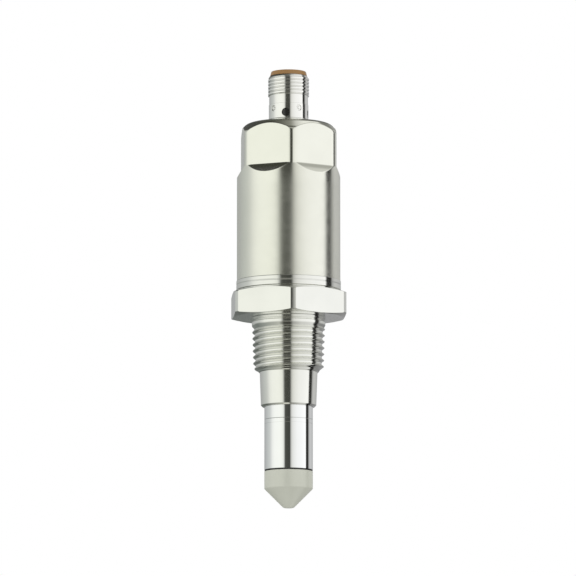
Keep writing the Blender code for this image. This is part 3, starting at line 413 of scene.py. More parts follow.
def make_process_fitting(material):
    """Weld ring, hex flange, neck, taper thread, end chamfer and stem, turned and milled from one bar."""
    shell = Shell()
    ring = BODY_RADIUS + WELD_RING_STAND_OUT
    ring_top = BODY_FOOT - 0.02 * MM
    weld_line = HEX_THICKNESS + 2.0 * MM
    angles = sector_angles()
    spigot = BODY_RADIUS - BODY_WALL - 0.2 * MM
    upper = [
        (spigot, BODY_FOOT - 0.2 * MM, 0.0),
        (ring - 0.08 * MM, BODY_FOOT - 0.03 * MM, 0.03 * MM),
        (ring, BODY_FOOT - 0.14 * MM, 0.12 * MM),
        (ring, weld_line + 0.25 * MM, 0.3 * MM),
        (ring - 0.05 * MM, weld_line, 0.06 * MM),
        (ring, weld_line - 0.25 * MM, 0.3 * MM),
        (ring, HEX_THICKNESS + UNDERCUT_HEIGHT + 0.12 * MM, 0.12 * MM),
        (ring - 0.18 * MM, HEX_THICKNESS + UNDERCUT_HEIGHT, 0.06 * MM),
        (BODY_RADIUS - UNDERCUT_DEPTH, HEX_THICKNESS + UNDERCUT_HEIGHT, 0.1 * MM),
        (BODY_RADIUS - UNDERCUT_DEPTH, HEX_THICKNESS, 0.15 * MM),
        (HEX_FLAT_RADIUS - 0.2 * MM, HEX_THICKNESS),
    ]
    turn_runs(shell, outline(upper), angles)
    top_drop = (HEX_TURNED_RADIUS - HEX_FLAT_RADIUS + 0.2 * MM) * math.tan(TOP_CHAMFER)
    foot_rise = (HEX_TURNED_RADIUS - HEX_FLAT_RADIUS + 0.2 * MM) * math.tan(FOOT_CHAMFER)
    flange = [
        (HEX_FLAT_RADIUS - 0.2 * MM, HEX_THICKNESS),
        (HEX_TURNED_RADIUS, HEX_THICKNESS - top_drop, 0.3 * MM),
        (HEX_TURNED_RADIUS, foot_rise, 0.3 * MM),
        (HEX_FLAT_RADIUS - 0.2 * MM, 0.0),
    ]

    for rows in outline(flange, steps=6):
        milled(shell, rows, HEX_FLAT_RADIUS, 0.05 * MM)
    neck = [
        (HEX_FLAT_RADIUS - 0.2 * MM, 0.0),
        (NECK_RADIUS, 0.0, 0.25 * MM),
        (NECK_RADIUS, -0.75 * MM, 0.1 * MM),
        (NECK_RADIUS - 0.25 * MM, -0.95 * MM, 0.1 * MM),
        (NECK_RADIUS - 0.25 * MM, -1.15 * MM, 0.1 * MM),
        (NECK_RADIUS - 0.02 * MM, -1.35 * MM, 0.1 * MM),
        (TAPER_RADIUS, THREAD_TOP),
    ]
    turn_runs(shell, outline(neck), angles)

    chamfer_top = TAPER_RADIUS - TAPER_LENGTH * TAPER / 2
    chamfer_slope = (chamfer_top - STEM_TOP_RADIUS - 0.15 * MM) / END_CHAMFER_HEIGHT

    def major(height):
        full = TAPER_RADIUS - (THREAD_TOP - height) * TAPER / 2
        cone = STEM_TOP_RADIUS + 0.15 * MM + (height - STEM_TOP) * chamfer_slope
        return smooth_less(full, cone, 0.12 * MM)

    surface = thread_surface(
        major, TAPER_DEPTH, TAPER_PITCH, 0.12 * MM, 0.25 * MM, TAPER_LIFT,
        lambda height: 1.0 - ramp(height, THREAD_TOP - 0.9 * TAPER_PITCH, THREAD_TOP),
        lambda height: ramp(height, STEM_TOP, STEM_TOP + 1.0 * MM),
    )
    add_thread(shell, surface, STEM_TOP, THREAD_TOP, TAPER_PITCH, angles)
    tube_socket = TUBE_RADIUS - 1.0 * MM
    stem = [
        (STEM_TOP_RADIUS + 0.15 * MM, STEM_TOP, 0.0),
        (STEM_TOP_RADIUS, STEM_TOP - 0.02 * MM, 0.0),
        (STEM_FOOT_RADIUS, STEM_FOOT + STEM_CHAMFER, 0.15 * MM),
        (STEM_FOOT_RADIUS - STEM_CHAMFER, STEM_FOOT, 0.12 * MM),
        (tube_socket, STEM_FOOT, 0.0),
        (tube_socket, STEM_FOOT + 4.2 * MM, 0.0),
        (4.5 * MM, STEM_FOOT + 4.2 * MM, 0.0),
        (4.5 * MM, 3.5 * MM, 0.0),
        (9.6 * MM, 3.5 * MM, 0.0),
        (9.6 * MM, SPIGOT_TOP, 0.0),
        (spigot, SPIGOT_TOP, 0.0),
        (spigot, BODY_FOOT - 0.2 * MM, 0.0),
    ]
    turn_runs(shell, outline(stem), angles)
    return shell.make("process_fitting_steel", material, "steel_turned", "process_fitting")


def collar_patch(shell, middle, turn, centre_height, hole_radius, low, high, span, mark_depth=None):
    """One stretch of the collar round a drilled hole, or round a shallow ring mark, turned off its middle."""
    columns, rings = 16, 8
    centre = middle + turn
    left, right = (-span / 2 - turn) * COLLAR_RADIUS, (span / 2 - turn) * COLLAR_RADIUS
    xs = np.linspace(left, right, columns + 1)
    low_z, high_z = low - centre_height, high - centre_height
    zs = np.linspace(low_z, high_z, columns + 1)
    border = np.array(
        [(x, low_z) for x in xs[:-1]] + [(right, z) for z in zs[:-1]]
        + [(x, high_z) for x in xs[:0:-1]] + [(left, z) for z in zs[:0:-1]]
    )
    angle = np.arctan2(border[:, 1], border[:, 0])
    rim = np.stack([np.cos(angle), np.sin(angle)], axis=-1) * hole_radius
    share = (np.linspace(0.0, 1.0, rings + 1) ** 1.5)[:, None, None]
    place = rim[None] + (border - rim)[None] * share

    def on_collar(place, depth):
        turn = centre + place[..., 0] / COLLAR_RADIUS
        radius = COLLAR_RADIUS - depth
        height = centre_height + place[..., 1]
        return np.stack([radius * np.cos(turn), radius * np.sin(turn), height], axis=-1)

    def outward(place):
        turn = centre + place[..., 0] / COLLAR_RADIUS
        return np.stack([np.cos(turn), np.sin(turn), 0 * turn], axis=-1)

    shell.grid(on_collar(place, 0.0), outward(place))
    if mark_depth is None:
        inward = -np.array((math.cos(centre), math.sin(centre), 0.0))
        edge = on_collar(rim, 0.0)
        wall = np.stack([edge, edge + inward * 0.75 * MM])
        back = np.stack([
            np.cos(angle) * math.sin(centre), -np.cos(angle) * math.cos(centre), -np.sin(angle),
        ], axis=-1)
        shell.grid(wall, np.stack([back, back]))
        return
    shares = np.linspace(1.0, 0.02, 25)
    ring_place = rim[None] * shares[:, None, None]

    def depth_at(share):
        return mark_depth * ramp(share, 1.0, 0.86) * ramp(share, 0.42, 0.56)

    step = 0.01
    drop = (depth_at(shares + step) - depth_at(shares - step)) / (2 * step * hole_radius)
    lean = np.stack([
        -np.cos(angle) * math.sin(centre), np.cos(angle) * math.cos(centre), np.sin(angle),
    ], axis=-1)
    normals = outward(ring_place) + lean[None] * drop[:, None, None]
    shell.grid(on_collar(ring_place, depth_at(shares)[:, None]), normals)
    shell.cap(on_collar(ring_place[-1], depth_at(shares[-1:])), outward(np.zeros(2)))


def make_connector_sleeve(material):
    """Threaded sleeve with a lead-in chamfer, a neck, a collar with windows and ring marks, and a weld bead."""
    shell = Shell()
    angles = WINDOW_AZIMUTH + math.pi / 8 + round_angles(128)
    top = [
        (SLEEVE_BORE, SLEEVE_END, 0.0),
        (PLUG_RADIUS - PLUG_CHAMFER_WIDTH, SLEEVE_END, 0.0),
    ]
    turn_runs(shell, outline(top), angles)

    def major(height):
        cone = PLUG_RADIUS - (height - PLUG_TOP) * PLUG_CHAMFER_WIDTH / PLUG_CHAMFER
        return smooth_less(PLUG_RADIUS + 0 * height, cone, 0.08 * MM)

    surface = thread_surface(
        major, PLUG_DEPTH, PLUG_PITCH, PLUG_CREST, 0.06 * MM, 0.0,
        lambda height: 1.0 - ramp(height, PLUG_TOP - 0.1 * MM, SLEEVE_END),
        lambda height: 0.6 + 0.4 * ramp(height, PLUG_FOOT, PLUG_FOOT + 0.3 * PLUG_PITCH),
    )
    add_thread(shell, surface, PLUG_FOOT, SLEEVE_END, PLUG_PITCH, angles)
    neck = [
        (PLUG_RADIUS, PLUG_FOOT, 0.0),
        (SLEEVE_NECK_RADIUS, PLUG_FOOT - 0.06 * MM, 0.0),
        (SLEEVE_NECK_RADIUS, COLLAR_TOP + 0.07 * MM, 0.03 * MM),
        (SLEEVE_NECK_RADIUS - 0.07 * MM, COLLAR_TOP + 0.03 * MM, 0.03 * MM),
        (COLLAR_RADIUS, COLLAR_TOP, 0.0),
    ]
    turn_runs(shell, outline(neck), angles)
    bead_top = SLEEVE_SEAT + 0.35 * MM
    for index in range(4):
        window = WINDOW_AZIMUTH + index * math.pi / 2
        window_height, mark_height = COLLAR_TOP - WINDOW_DROP, COLLAR_TOP - MARK_DROP
        collar_patch(shell, window, 0.0, window_height, WINDOW_RADIUS, bead_top, COLLAR_TOP, math.pi / 4)
        turn = (MARK_TURN - math.pi / 4) * (-1.0) ** index
        collar_patch(
            shell, window + math.pi / 4, turn, mark_height, MARK_RADIUS, bead_top, COLLAR_TOP, math.pi / 4, 0.24 * MM,
        )
    wobble = 0.035 * MM * (np.sin(angles * 37) + 0.7 * np.sin(angles * 61 + 1.3)) * 0.5
    turns = np.linspace(math.pi / 2 - 0.1, -math.pi / 2 + 0.25, 9)
    radius = COLLAR_RADIUS - 0.02 * MM + (0.30 * MM + wobble)[None, :] * np.cos(turns)[:, None]
    height = SLEEVE_SEAT + 0.10 * MM + (0.27 * MM + 0.6 * wobble)[None, :] * np.sin(turns)[:, None]
    bead = np.stack([radius * np.cos(angles), radius * np.sin(angles), height], axis=-1)
    facing = np.stack([
        np.cos(turns)[:, None] * np.cos(angles), np.cos(turns)[:, None] * np.sin(angles),
        np.sin(turns)[:, None] + 0 * angles,
    ], axis=-1)
    shell.grid(bead, facing)
    inside = [
        (COLLAR_RADIUS, SLEEVE_SEAT + 0.3 * MM, 0.0),
        (COLLAR_RADIUS - 0.3 * MM, SLEEVE_SEAT + 0.3 * MM, 0.0),
        (COLLAR_RADIUS - 0.3 * MM, SLEEVE_FOOT, 0.0),
        (SLEEVE_BORE - 0.6 * MM, SLEEVE_FOOT, 0.0),
        (SLEEVE_BORE - 0.6 * MM, SLEEVE_FOOT + 0.8 * MM, 0.0),
        (SLEEVE_BORE, SLEEVE_FOOT + 0.8 * MM, 0.0),
        (SLEEVE_BORE, COLLAR_TOP - WINDOW_DROP - 1.5 * MM, 0.0),
    ]
    turn_runs(shell, outline(inside), angles)
    turn_runs(shell, outline([(SLEEVE_BORE, COLLAR_TOP, 0.0), (SLEEVE_BORE, SLEEVE_END, 0.0)]), angles)
    return shell.make("connector_sleeve_steel", material, "steel_bright", "connector_sleeve")


def make_status_windows(material):
    """Dark round lenses, slightly domed, in the collar's holes."""
    for index in range(4):
        centre = WINDOW_AZIMUTH + index * math.pi / 2
        shell = Shell()
        radius = WINDOW_RADIUS - 0.06 * MM
        lens = [
            (0.02 * MM, 0.0, 0.0, 1.0),
            (0.35 * MM, -0.006 * MM, 0.05, 1.0),
            (0.70 * MM, -0.03 * MM, 0.12, 1.0),
            (radius - 0.12 * MM, -0.08 * MM, 0.25, 1.0),
            (radius, -0.18 * MM, 0.9, 0.4),
            (radius, -0.80 * MM, 1.0, 0.0),
        ]
        points, normals = spun(np.array(lens), round_angles(48))
        out = np.array((math.cos(centre), math.sin(centre), 0.0))
        side = np.array((-math.sin(centre), math.cos(centre), 0.0))
        up = np.array((0.0, 0.0, 1.0))
        turned = np.stack([side, up, out])
        base = out * (COLLAR_RADIUS - 0.16 * MM) + up * (COLLAR_TOP - WINDOW_DROP)
        shell.grid(points @ turned + base, normals @ turned)
        shell.cap(points[0] @ turned + base, out)
        shell.make(f"status_lens_{index + 1}", material, "smoked_window", f"status_window_{index + 1}")


def make_contact_carrier(material):
    """Amber insert: a rim over the sleeve's end, an open cup round the pins, a coding key."""
    shell = Shell()
    angles = round_angles(192)
    body = SLEEVE_BORE - 0.1 * MM
    floor = CARRIER_TOP - CUP_DEPTH
    shape = [
        (0.05 * MM, floor, 0.0),
        (CUP_RADIUS, floor, 0.2 * MM),
        (CUP_RADIUS, CARRIER_TOP, 0.15 * MM),
        (RIM_RADIUS - RIM_LEAN, CARRIER_TOP, 0.25 * MM),
        (RIM_RADIUS, SLEEVE_END + 0.1 * MM, 0.05 * MM),
        (body, SLEEVE_END + 0.1 * MM, 0.0),
        (body, CARRIER_FOOT, 0.0),
        (0.05 * MM, CARRIER_FOOT, 0.0),
    ]
    turn_runs(shell, outline(shape, steps=6), angles)
    half, inner = 0.6 * MM, CUP_RADIUS - 0.6 * MM
    top = CARRIER_TOP - 1.3 * MM
    section = [
        (CUP_RADIUS + 0.1 * MM, -half), (inner + 0.15 * MM, -half), (inner, -half + 0.15 * MM),
        (inner, half - 0.15 * MM), (inner + 0.15 * MM, half), (CUP_RADIUS + 0.1 * MM, half),
    ]
    for start, end in zip(section[:-1], section[1:]):
        way = np.array((end[0] - start[0], end[1] - start[1]))
        normal = np.array((way[1], -way[0], 0.0))
        normal *= -1.0 if normal[0] > 0 or (normal[0] == 0 and start[1] * normal[1] < 0) else 1.0
        wall = np.array([
            [(*start, floor), (*end, floor)],
            [(*start, top), (*end, top)],
        ])
        shell.grid(wall, np.broadcast_to(normal, wall.shape), closed=False)
    shell.cap(np.array([(*place, top) for place in section]), np.array((0.0, 0.0, 1.0)))
    return shell.make("contact_carrier_insert", material, "amber_plastic", "contact_carrier")


def make_contact_pins(material):
    """Four gold-plated pins with rounded ends."""
    for index in range(4):
        angle = math.pi / 4 + index * math.pi / 2
        shell = Shell()
        shape = [
            (0.02 * MM, PIN_TOP, 0.0),
            (PIN_RADIUS, PIN_TOP, PIN_RADIUS * 0.85),
            (PIN_RADIUS, PIN_FOOT, 0.1 * MM),
            (0.02 * MM, PIN_FOOT, 0.0),
        ]
        for rows in outline(shape, steps=8):
            points, normals = spun(rows, round_angles(32))
            shell.grid(points + np.array((PIN_CIRCLE * math.cos(angle), PIN_CIRCLE * math.sin(angle), 0.0)), normals)
        shell.make(f"plug_pin_{index + 1}", material, "gold_plating", f"contact_pin_{index + 1}")


def make_probe_tube(material):
    """Polished tube with two fine weld lines near its top."""
    shell = Shell()
    top = STEM_FOOT - 0.02 * MM
    bore = TUBE_RADIUS - 1.0 * MM
    shape = [(bore - 0.2 * MM, top, 0.0), (TUBE_RADIUS, top, 0.0)]
    for drop, line in ((3.7 * MM, 0.05 * MM), (5.0 * MM, 0.015 * MM)):
        shape += [
            (TUBE_RADIUS, top - drop + 0.09 * MM, 0.05 * MM),
            (TUBE_RADIUS - line, top - drop, 0.05 * MM),
            (TUBE_RADIUS, top - drop - 0.09 * MM, 0.05 * MM),
        ]
    shape += [
        (TUBE_RADIUS, TUBE_FOOT, 0.06 * MM),
        (bore, TUBE_FOOT, 0.0),
        (bore, TUBE_SPIGOT_TOP, 0.0),
        (bore - 0.2 * MM, TUBE_SPIGOT_TOP, 0.0),
        (bore - 0.2 * MM, top, 0.0),
    ]
    turn_runs(shell, outline(shape), round_angles())
    return shell.make("probe_tube_steel", material, "steel_polished", "probe_tube")


def make_tip_seal(material):
    """Thin black ring between tube and tip."""
    shell = Shell()
    outer = TUBE_RADIUS - 0.05 * MM
    bore = TUBE_RADIUS - 1.3 * MM
    shape = [
        (bore, SEAL_HIGH, 0.0),
        (outer, SEAL_HIGH, 0.1 * MM),
        (outer, SEAL_LOW, 0.1 * MM),
        (bore, SEAL_LOW, 0.0),
        (bore, SEAL_HIGH, 0.0),
    ]
    turn_runs(shell, outline(shape), round_angles())
    return shell.make("tip_seal_ring", material, "seal_rubber", "tip_seal")


def make_sensing_tip(material):
    """Machined plastic tip: short cylinder, soft shoulder, 90 degree cone and small rounded end."""
    shell = Shell()
    top = SEAL_LOW - 0.03 * MM
    cone_top = top - 5.05 * MM
    end_radius = 1.45 * MM
    spigot = TUBE_RADIUS - 1.2 * MM
    shape = [
        (spigot, TIP_SPIGOT_TOP, 0.0),
        (spigot, top, 0.0),
        (TUBE_RADIUS, top, 0.12 * MM),
        (TUBE_RADIUS, cone_top, 0.5 * MM),
        (end_radius, TIP_END, 1.3 * MM),
        (0.03 * MM, TIP_END, 0.0),
    ]
    turn_runs(shell, outline(shape, steps=10), round_angles())
    return shell.make("sensing_tip_plastic", material, "tip_plastic", "sensing_tip")


def new_material(name, colour, roughness, metallic=0.0):
    """A Principled material; returns it with its node tree and shader."""
    material = bpy.data.materials.new(name)
    material.use_nodes = True
    shader = material.node_tree.nodes["Principled BSDF"]
    shader.inputs["Base Color"].default_value = (*colour, 1.0)
    shader.inputs["Roughness"].default_value = roughness
    shader.inputs["Metallic"].default_value = metallic
    return material, material.node_tree, shader


def stretched_noise(tree, scale, stretch, detail=3.0):
    """Noise in the object's own coordinates, stretched along some axes."""
    place = tree.nodes.new("ShaderNodeTexCoord")
    mapping = tree.nodes.new("ShaderNodeMapping")
    mapping.inputs["Scale"].default_value = stretch
    noise = tree.nodes.new("ShaderNodeTexNoise")
    noise.inputs["Scale"].default_value = scale
    noise.inputs["Detail"].default_value = detail
    tree.links.new(place.outputs["Object"], mapping.inputs["Vector"])
    tree.links.new(mapping.outputs["Vector"], noise.inputs["Vector"])
    return noise.outputs["Fac"]


def map_value(tree, source, low, high, start=0.3, end=0.7):
    node = tree.nodes.new("ShaderNodeMapRange")
    node.inputs["From Min"].default_value = start
    node.inputs["From Max"].default_value = end
    node.inputs["To Min"].default_value = low
    node.inputs["To Max"].default_value = high
    tree.links.new(source, node.inputs["Value"])
    return node.outputs["Result"]


def math_node(tree, operation, first, second=None):
    node = tree.nodes.new("ShaderNodeMath")
    node.operation = operation
    for socket, value in zip(node.inputs, (first, second)):
        if isinstance(value, bpy.types.NodeSocket):
            tree.links.new(value, socket)
        elif value is not None:
            socket.default_value = value
    return node.outputs["Value"]


def tinted(tree, shader, source, first, second):
    """Colour that wanders between two tones."""
    mix = tree.nodes.new("ShaderNodeMix")
    mix.data_type = "RGBA"
    mix.inputs["A"].default_value = (*first, 1.0)
    mix.inputs["B"].default_value = (*second, 1.0)
    tree.links.new(source, mix.inputs["Factor"])
    tree.links.new(mix.outputs["Result"], shader.inputs["Base Color"])


def bumped(tree, shader, source, strength, distance):
    bump = tree.nodes.new("ShaderNodeBump")
    bump.inputs["Strength"].default_value = strength
    bump.inputs["Distance"].default_value = distance
    tree.links.new(source, bump.inputs["Height"])
    tree.links.new(bump.outputs["Normal"], shader.inputs["Normal"])


def steel(name, light, dark, low, high, ring_strength, brushed_below=None):
    """Turned stainless steel: fine rings round the axis, a little colour and gloss variation.

    A steel that is brushed below a height is twice as smooth above it.
    """
    material, tree, shader = new_material(name, light, low, 1.0)
    cloud = stretched_noise(tree, 120.0, (1.0, 1.0, 1.0))
    tinted(tree, shader, map_value(tree, cloud, 0.0, 1.0), light, dark)
    smudge = stretched_noise(tree, 260.0, (1.0, 1.0, 2.5), 4.0)
    roughness = map_value(tree, smudge, low, high)
    if brushed_below is not None:
        place = tree.nodes.new("ShaderNodeTexCoord")
        split = tree.nodes.new("ShaderNodeSeparateXYZ")
        tree.links.new(place.outputs["Object"], split.inputs["Vector"])
        fade = map_value(tree, split.outputs["Z"], 1.0, 0.5, brushed_below - 6.0 * MM, brushed_below)
        roughness = math_node(tree, "MULTIPLY", roughness, fade)
    tree.links.new(roughness, shader.inputs["Roughness"])
    rings = stretched_noise(tree, 900.0, (0.02, 0.02, 12.0), 2.0)
    bumped(tree, shader, rings, ring_strength, 0.01 * MM)
    return material


def plastic(name, light, dark, roughness, grain=0.1, shine=0.5):
    material, tree, shader = new_material(name, light, roughness)
    shader.inputs["Specular IOR Level"].default_value = shine
    cloud = stretched_noise(tree, 90.0, (1.0, 1.0, 1.0))
    tinted(tree, shader, map_value(tree, cloud, 0.0, 1.0), light, dark)
    bumped(tree, shader, stretched_noise(tree, 5000.0, (1.0, 1.0, 1.0)), grain, 0.01 * MM)
    return material


CAMERA_AZIMUTH = math.radians(-94.3)
CAMERA_DISTANCE = 1.8
CAMERA_HEIGHT = -0.2323
CAMERA_PITCH = math.radians(7.63)
CAMERA_LENS = 391.6
PHOTO_WIDTH = 576
AXIS_OFFSET = 0.6


def make_camera():
    data = bpy.data.cameras.new("camera")
    data.lens = CAMERA_LENS
    data.sensor_width = 36.0
    data.shift_x = -AXIS_OFFSET / PHOTO_WIDTH
    data.clip_start = 0.1
    data.clip_end = 50.0
    camera = bpy.data.objects.new("camera", data)
    bpy.context.scene.collection.objects.link(camera)
    camera.location = (
        CAMERA_DISTANCE * math.cos(CAMERA_AZIMUTH), CAMERA_DISTANCE * math.sin(CAMERA_AZIMUTH), CAMERA_HEIGHT,
    )
    camera.rotation_euler = (math.pi / 2 + CAMERA_PITCH, 0.0, CAMERA_AZIMUTH + math.pi / 2)
    bpy.context.scene.camera = camera


# Studio panels: they run from front to back past the object and meet far behind it. Each is given by the
# angle at which a surface has to face, from the front and positive to the right, to mirror it.
SIDE_PANELS = (
    (-90.0, (0.40, 0.41, 0.41)),
    (-71.0, (0.48, 0.49, 0.49)),
    (-60.0, (0.57, 0.59, 0.58)),
    (-51.5, (0.65, 0.67, 0.65)),
    (-47.0, (0.76, 0.77, 0.75)),
    (-42.0, (0.94, 0.95, 0.91)),
    (-35.0, (1.04, 1.05, 1.00)),
    (-22.0, (1.06, 1.07, 1.01)),
    (-16.5, (1.02, 1.03, 0.97)),
    (-12.5, (0.92, 0.93, 0.87)),
    (-10.7, (0.62, 0.63, 0.60)),
    (-8.2, (0.080, 0.082, 0.070)),
    (3.4, (0.055, 0.057, 0.050)),
    (4.8, (0.44, 0.44, 0.42)),
    (6.6, (0.66, 0.66, 0.63)),
    (8.8, (0.82, 0.82, 0.79)),
    (13.0, (0.93, 0.93, 0.91)),
    (21.0, (1.04, 1.04, 1.03)),
    (31.0, (1.08, 1.08, 1.08)),
    (44.8, (1.16, 1.16, 1.16)),
    (46.2, (0.030, 0.030, 0.028)),
    (53.5, (0.030, 0.030, 0.028)),
    (57.0, (0.50, 0.50, 0.50)),
    (62.5, (0.64, 0.64, 0.64)),
    (75.0, (0.55, 0.55, 0.55)),
    (90.0, (0.40, 0.41, 0.41)),
)
EDGE_PANELS = (
    (-90.0, (0.45, 0.46, 0.45)),
    (-45.0, (0.50, 0.51, 0.50)),
    (-31.0, (0.25, 0.26, 0.25)),
    (-26.0, (0.06, 0.06, 0.055)),
    (-10.0, (0.06, 0.06, 0.055)),
    (-8.0, (0.40, 0.40, 0.37)),
    (4.0, (0.40, 0.40, 0.37)),
    (10.0, (0.70, 0.70, 0.68)),
    (44.0, (0.75, 0.75, 0.73)),
    (46.2, (0.02, 0.02, 0.02)),
    (53.5, (0.02, 0.02, 0.02)),
    (58.0, (0.40, 0.40, 0.40)),
    (90.0, (0.38, 0.38, 0.38)),
)
LEDGE_PANELS = (
    (-90.0, (0.12, 0.12, 0.12)),
    (-45.0, (0.060, 0.062, 0.060)),
    (-20.0, (0.052, 0.054, 0.040)),
    (5.0, (0.045, 0.047, 0.036)),
    (12.0, (0.30, 0.30, 0.29)),
    (28.0, (0.46, 0.46, 0.44)),
    (90.0, (0.55, 0.55, 0.53)),
)
SHOULDER_PANELS = (
    (-90.0, (0.12, 0.12, 0.12)),
    (-45.0, (0.065, 0.067, 0.062)),
    (-22.0, (0.065, 0.067, 0.055)),
    (-8.0, (0.16, 0.16, 0.14)),
    (3.0, (0.30, 0.30, 0.27)),
    (9.0, (0.70, 0.70, 0.68)),
    (18.0, (0.98, 0.98, 0.96)),
    (39.0, (0.98, 0.98, 0.96)),
    (44.0, (0.22, 0.22, 0.21)),
    (58.0, (0.24, 0.24, 0.23)),
    (64.0, (0.38, 0.38, 0.37)),
    (90.0, (0.38, 0.38, 0.37)),
)
CROWN_PANELS = (
    (-90.0, (0.16, 0.16, 0.16)),
    (-60.0, (0.080, 0.082, 0.080)),
    (-20.0, (0.095, 0.098, 0.085)),
    (5.0, (0.12, 0.12, 0.11)),
    (20.0, (0.17, 0.17, 0.16)),
    (90.0, (0.17, 0.17, 0.17)),
)
FOOT_PANELS = (
    (-90.0, (0.30, 0.31, 0.30)),
    (-52.0, (0.40, 0.42, 0.40)),
    (-40.0, (0.75, 0.76, 0.71)),
    (-12.0, (0.75, 0.76, 0.71)),
    (-9.0, (0.26, 0.26, 0.23)),
    (3.0, (0.26, 0.26, 0.23)),
    (8.0, (0.65, 0.65, 0.63)),
    (20.0, (0.88, 0.88, 0.87)),
    (44.0, (0.95, 0.95, 0.95)),
    (45.5, (0.02, 0.02, 0.02)),
    (53.0, (0.02, 0.02, 0.02)),
    (57.0, (0.38, 0.38, 0.38)),
    (90.0, (0.32, 0.32, 0.33)),
)
BELOW_PANELS = (
    (-90.0, (0.25, 0.27, 0.26)),
    (-60.0, (0.20, 0.22, 0.21)),
    (-45.0, (0.32, 0.34, 0.32)),
    (-15.0, (0.55, 0.56, 0.51)),
    (-8.0, (0.065, 0.066, 0.055)),
    (3.5, (0.055, 0.055, 0.048)),
    (7.0, (0.42, 0.42, 0.40)),
    (20.0, (0.70, 0.70, 0.68)),
    (43.0, (0.84, 0.84, 0.83)),
    (44.5, (0.015, 0.015, 0.015)),
    (52.0, (0.015, 0.015, 0.015)),
    (55.0, (0.28, 0.28, 0.28)),
    (90.0, (0.25, 0.25, 0.26)),
)
LOWER_PANELS = (
    (-90.0, (0.18, 0.195, 0.185)),
    (-52.0, (0.13, 0.14, 0.13)),
    (-40.0, (0.30, 0.31, 0.29)),
    (-18.0, (0.46, 0.47, 0.42)),
    (-13.0, (0.36, 0.37, 0.32)),
    (-10.0, (0.72, 0.72, 0.65)),
    (0.5, (0.72, 0.72, 0.65)),
    (3.0, (0.20, 0.20, 0.18)),
    (5.0, (0.30, 0.30, 0.28)),
    (14.0, (0.42, 0.42, 0.40)),
    (24.0, (0.62, 0.62, 0.60)),
    (39.0, (0.68, 0.68, 0.67)),
    (41.5, (0.010, 0.010, 0.010)),
    (51.0, (0.010, 0.010, 0.010)),
    (54.0, (0.24, 0.24, 0.24)),
    (90.0, (0.36, 0.36, 0.37)),
)
FRONT_DROP = math.radians(8.0)
TENT_RADIUS = 4.0
FLOOR_HEIGHT = -1.7
PAPER = (0.93, 0.93, 0.93)
PAPER_BELOW = (0.76, 0.76, 0.76)


def panel_ramp(tree, facing, panels):
    """Colours of a row of panels by facing angle."""
    node = tree.nodes.new("ShaderNodeValToRGB")
    tree.links.new(facing, node.inputs["Fac"])
    stops = node.color_ramp.elements
    for index, (degrees, colour) in enumerate(panels):
        position = degrees / 180.0 + 0.5
        stop = stops[index] if index < 2 else stops.new(position)
        stop.position = position
        stop.color = (*colour, 1.0)
    return node.outputs["Color"]


def mixed(tree, factor, first, second):
    """Colour that goes from the first to the second."""
    mix = tree.nodes.new("ShaderNodeMix")
    mix.data_type = "RGBA"
    tree.links.new(factor, mix.inputs["Factor"])
    for socket, colour in ((mix.inputs["A"], first), (mix.inputs["B"], second)):
        if isinstance(colour, bpy.types.NodeSocket):
            tree.links.new(colour, socket)
        else:
            socket.default_value = (*colour, 1.0)
    return mix.outputs["Result"]


def make_tent():
    """Long white panels left and right of the camera, with dark gaps between, seen only in reflections."""
    material = bpy.data.materials.new("studio_walls")
    material.use_nodes = True
    material.cycles.emission_sampling = "NONE"
    tree = material.node_tree
    tree.nodes.clear()
    place = tree.nodes.new("ShaderNodeTexCoord")
    direction = tree.nodes.new("ShaderNodeVectorMath")
    direction.operation = "NORMALIZE"
    tree.links.new(place.outputs["Object"], direction.inputs[0])
    halfway = tree.nodes.new("ShaderNodeVectorMath")
    halfway.operation = "ADD"
    halfway.inputs[1].default_value = (math.cos(FRONT_DROP), 0.0, -math.sin(FRONT_DROP))
    tree.links.new(direction.outputs["Vector"], halfway.inputs[0])
    split = tree.nodes.new("ShaderNodeSeparateXYZ")
    tree.links.new(halfway.outputs["Vector"], split.inputs["Vector"])
    level = math_node(tree, "POWER", math_node(tree, "ADD",
        math_node(tree, "MULTIPLY", split.outputs["X"], split.outputs["X"]),
        math_node(tree, "MULTIPLY", split.outputs["Y"], split.outputs["Y"])), 0.5)
    turn = math_node(tree, "ARCTAN2", split.outputs["Y"], split.outputs["X"])
    rise = math_node(tree, "ARCTAN2", split.outputs["Z"], level)
    facing = map_value(tree, turn, 0.0, 1.0, -math.pi / 2, math.pi / 2)
    colour = panel_ramp(tree, facing, LOWER_PANELS)
    for panels, start, end in (
        (BELOW_PANELS, -43.0, -39.0), (FOOT_PANELS, -25.0, -22.0), (SIDE_PANELS, -11.0, -8.0),
        (EDGE_PANELS, 10.0, 13.0),
        (LEDGE_PANELS, 23.0, 27.0), (SHOULDER_PANELS, 35.0, 37.0), (CROWN_PANELS, 45.0, 49.0),
    ):
        share = map_value(tree, rise, 0.0, 1.0, math.radians(start), math.radians(end))
        colour = mixed(tree, share, colour, panel_ramp(tree, facing, panels))
    emission = tree.nodes.new("ShaderNodeEmission")
    tree.links.new(colour, emission.inputs["Color"])
    output = tree.nodes.new("ShaderNodeOutputMaterial")
    tree.links.new(emission.outputs["Emission"], output.inputs["Surface"])
    bpy.ops.mesh.primitive_uv_sphere_add(segments=64, ring_count=32, radius=TENT_RADIUS)
    tent = bpy.context.object
    tent.name = "studio_tent"
    tent.rotation_euler = (0.0, 0.0, CAMERA_AZIMUTH)
    tent.data.materials.append(material)
    tent.visible_camera = False
    tent.visible_diffuse = False
    tent.visible_shadow = False
    tent.visible_transmission = False


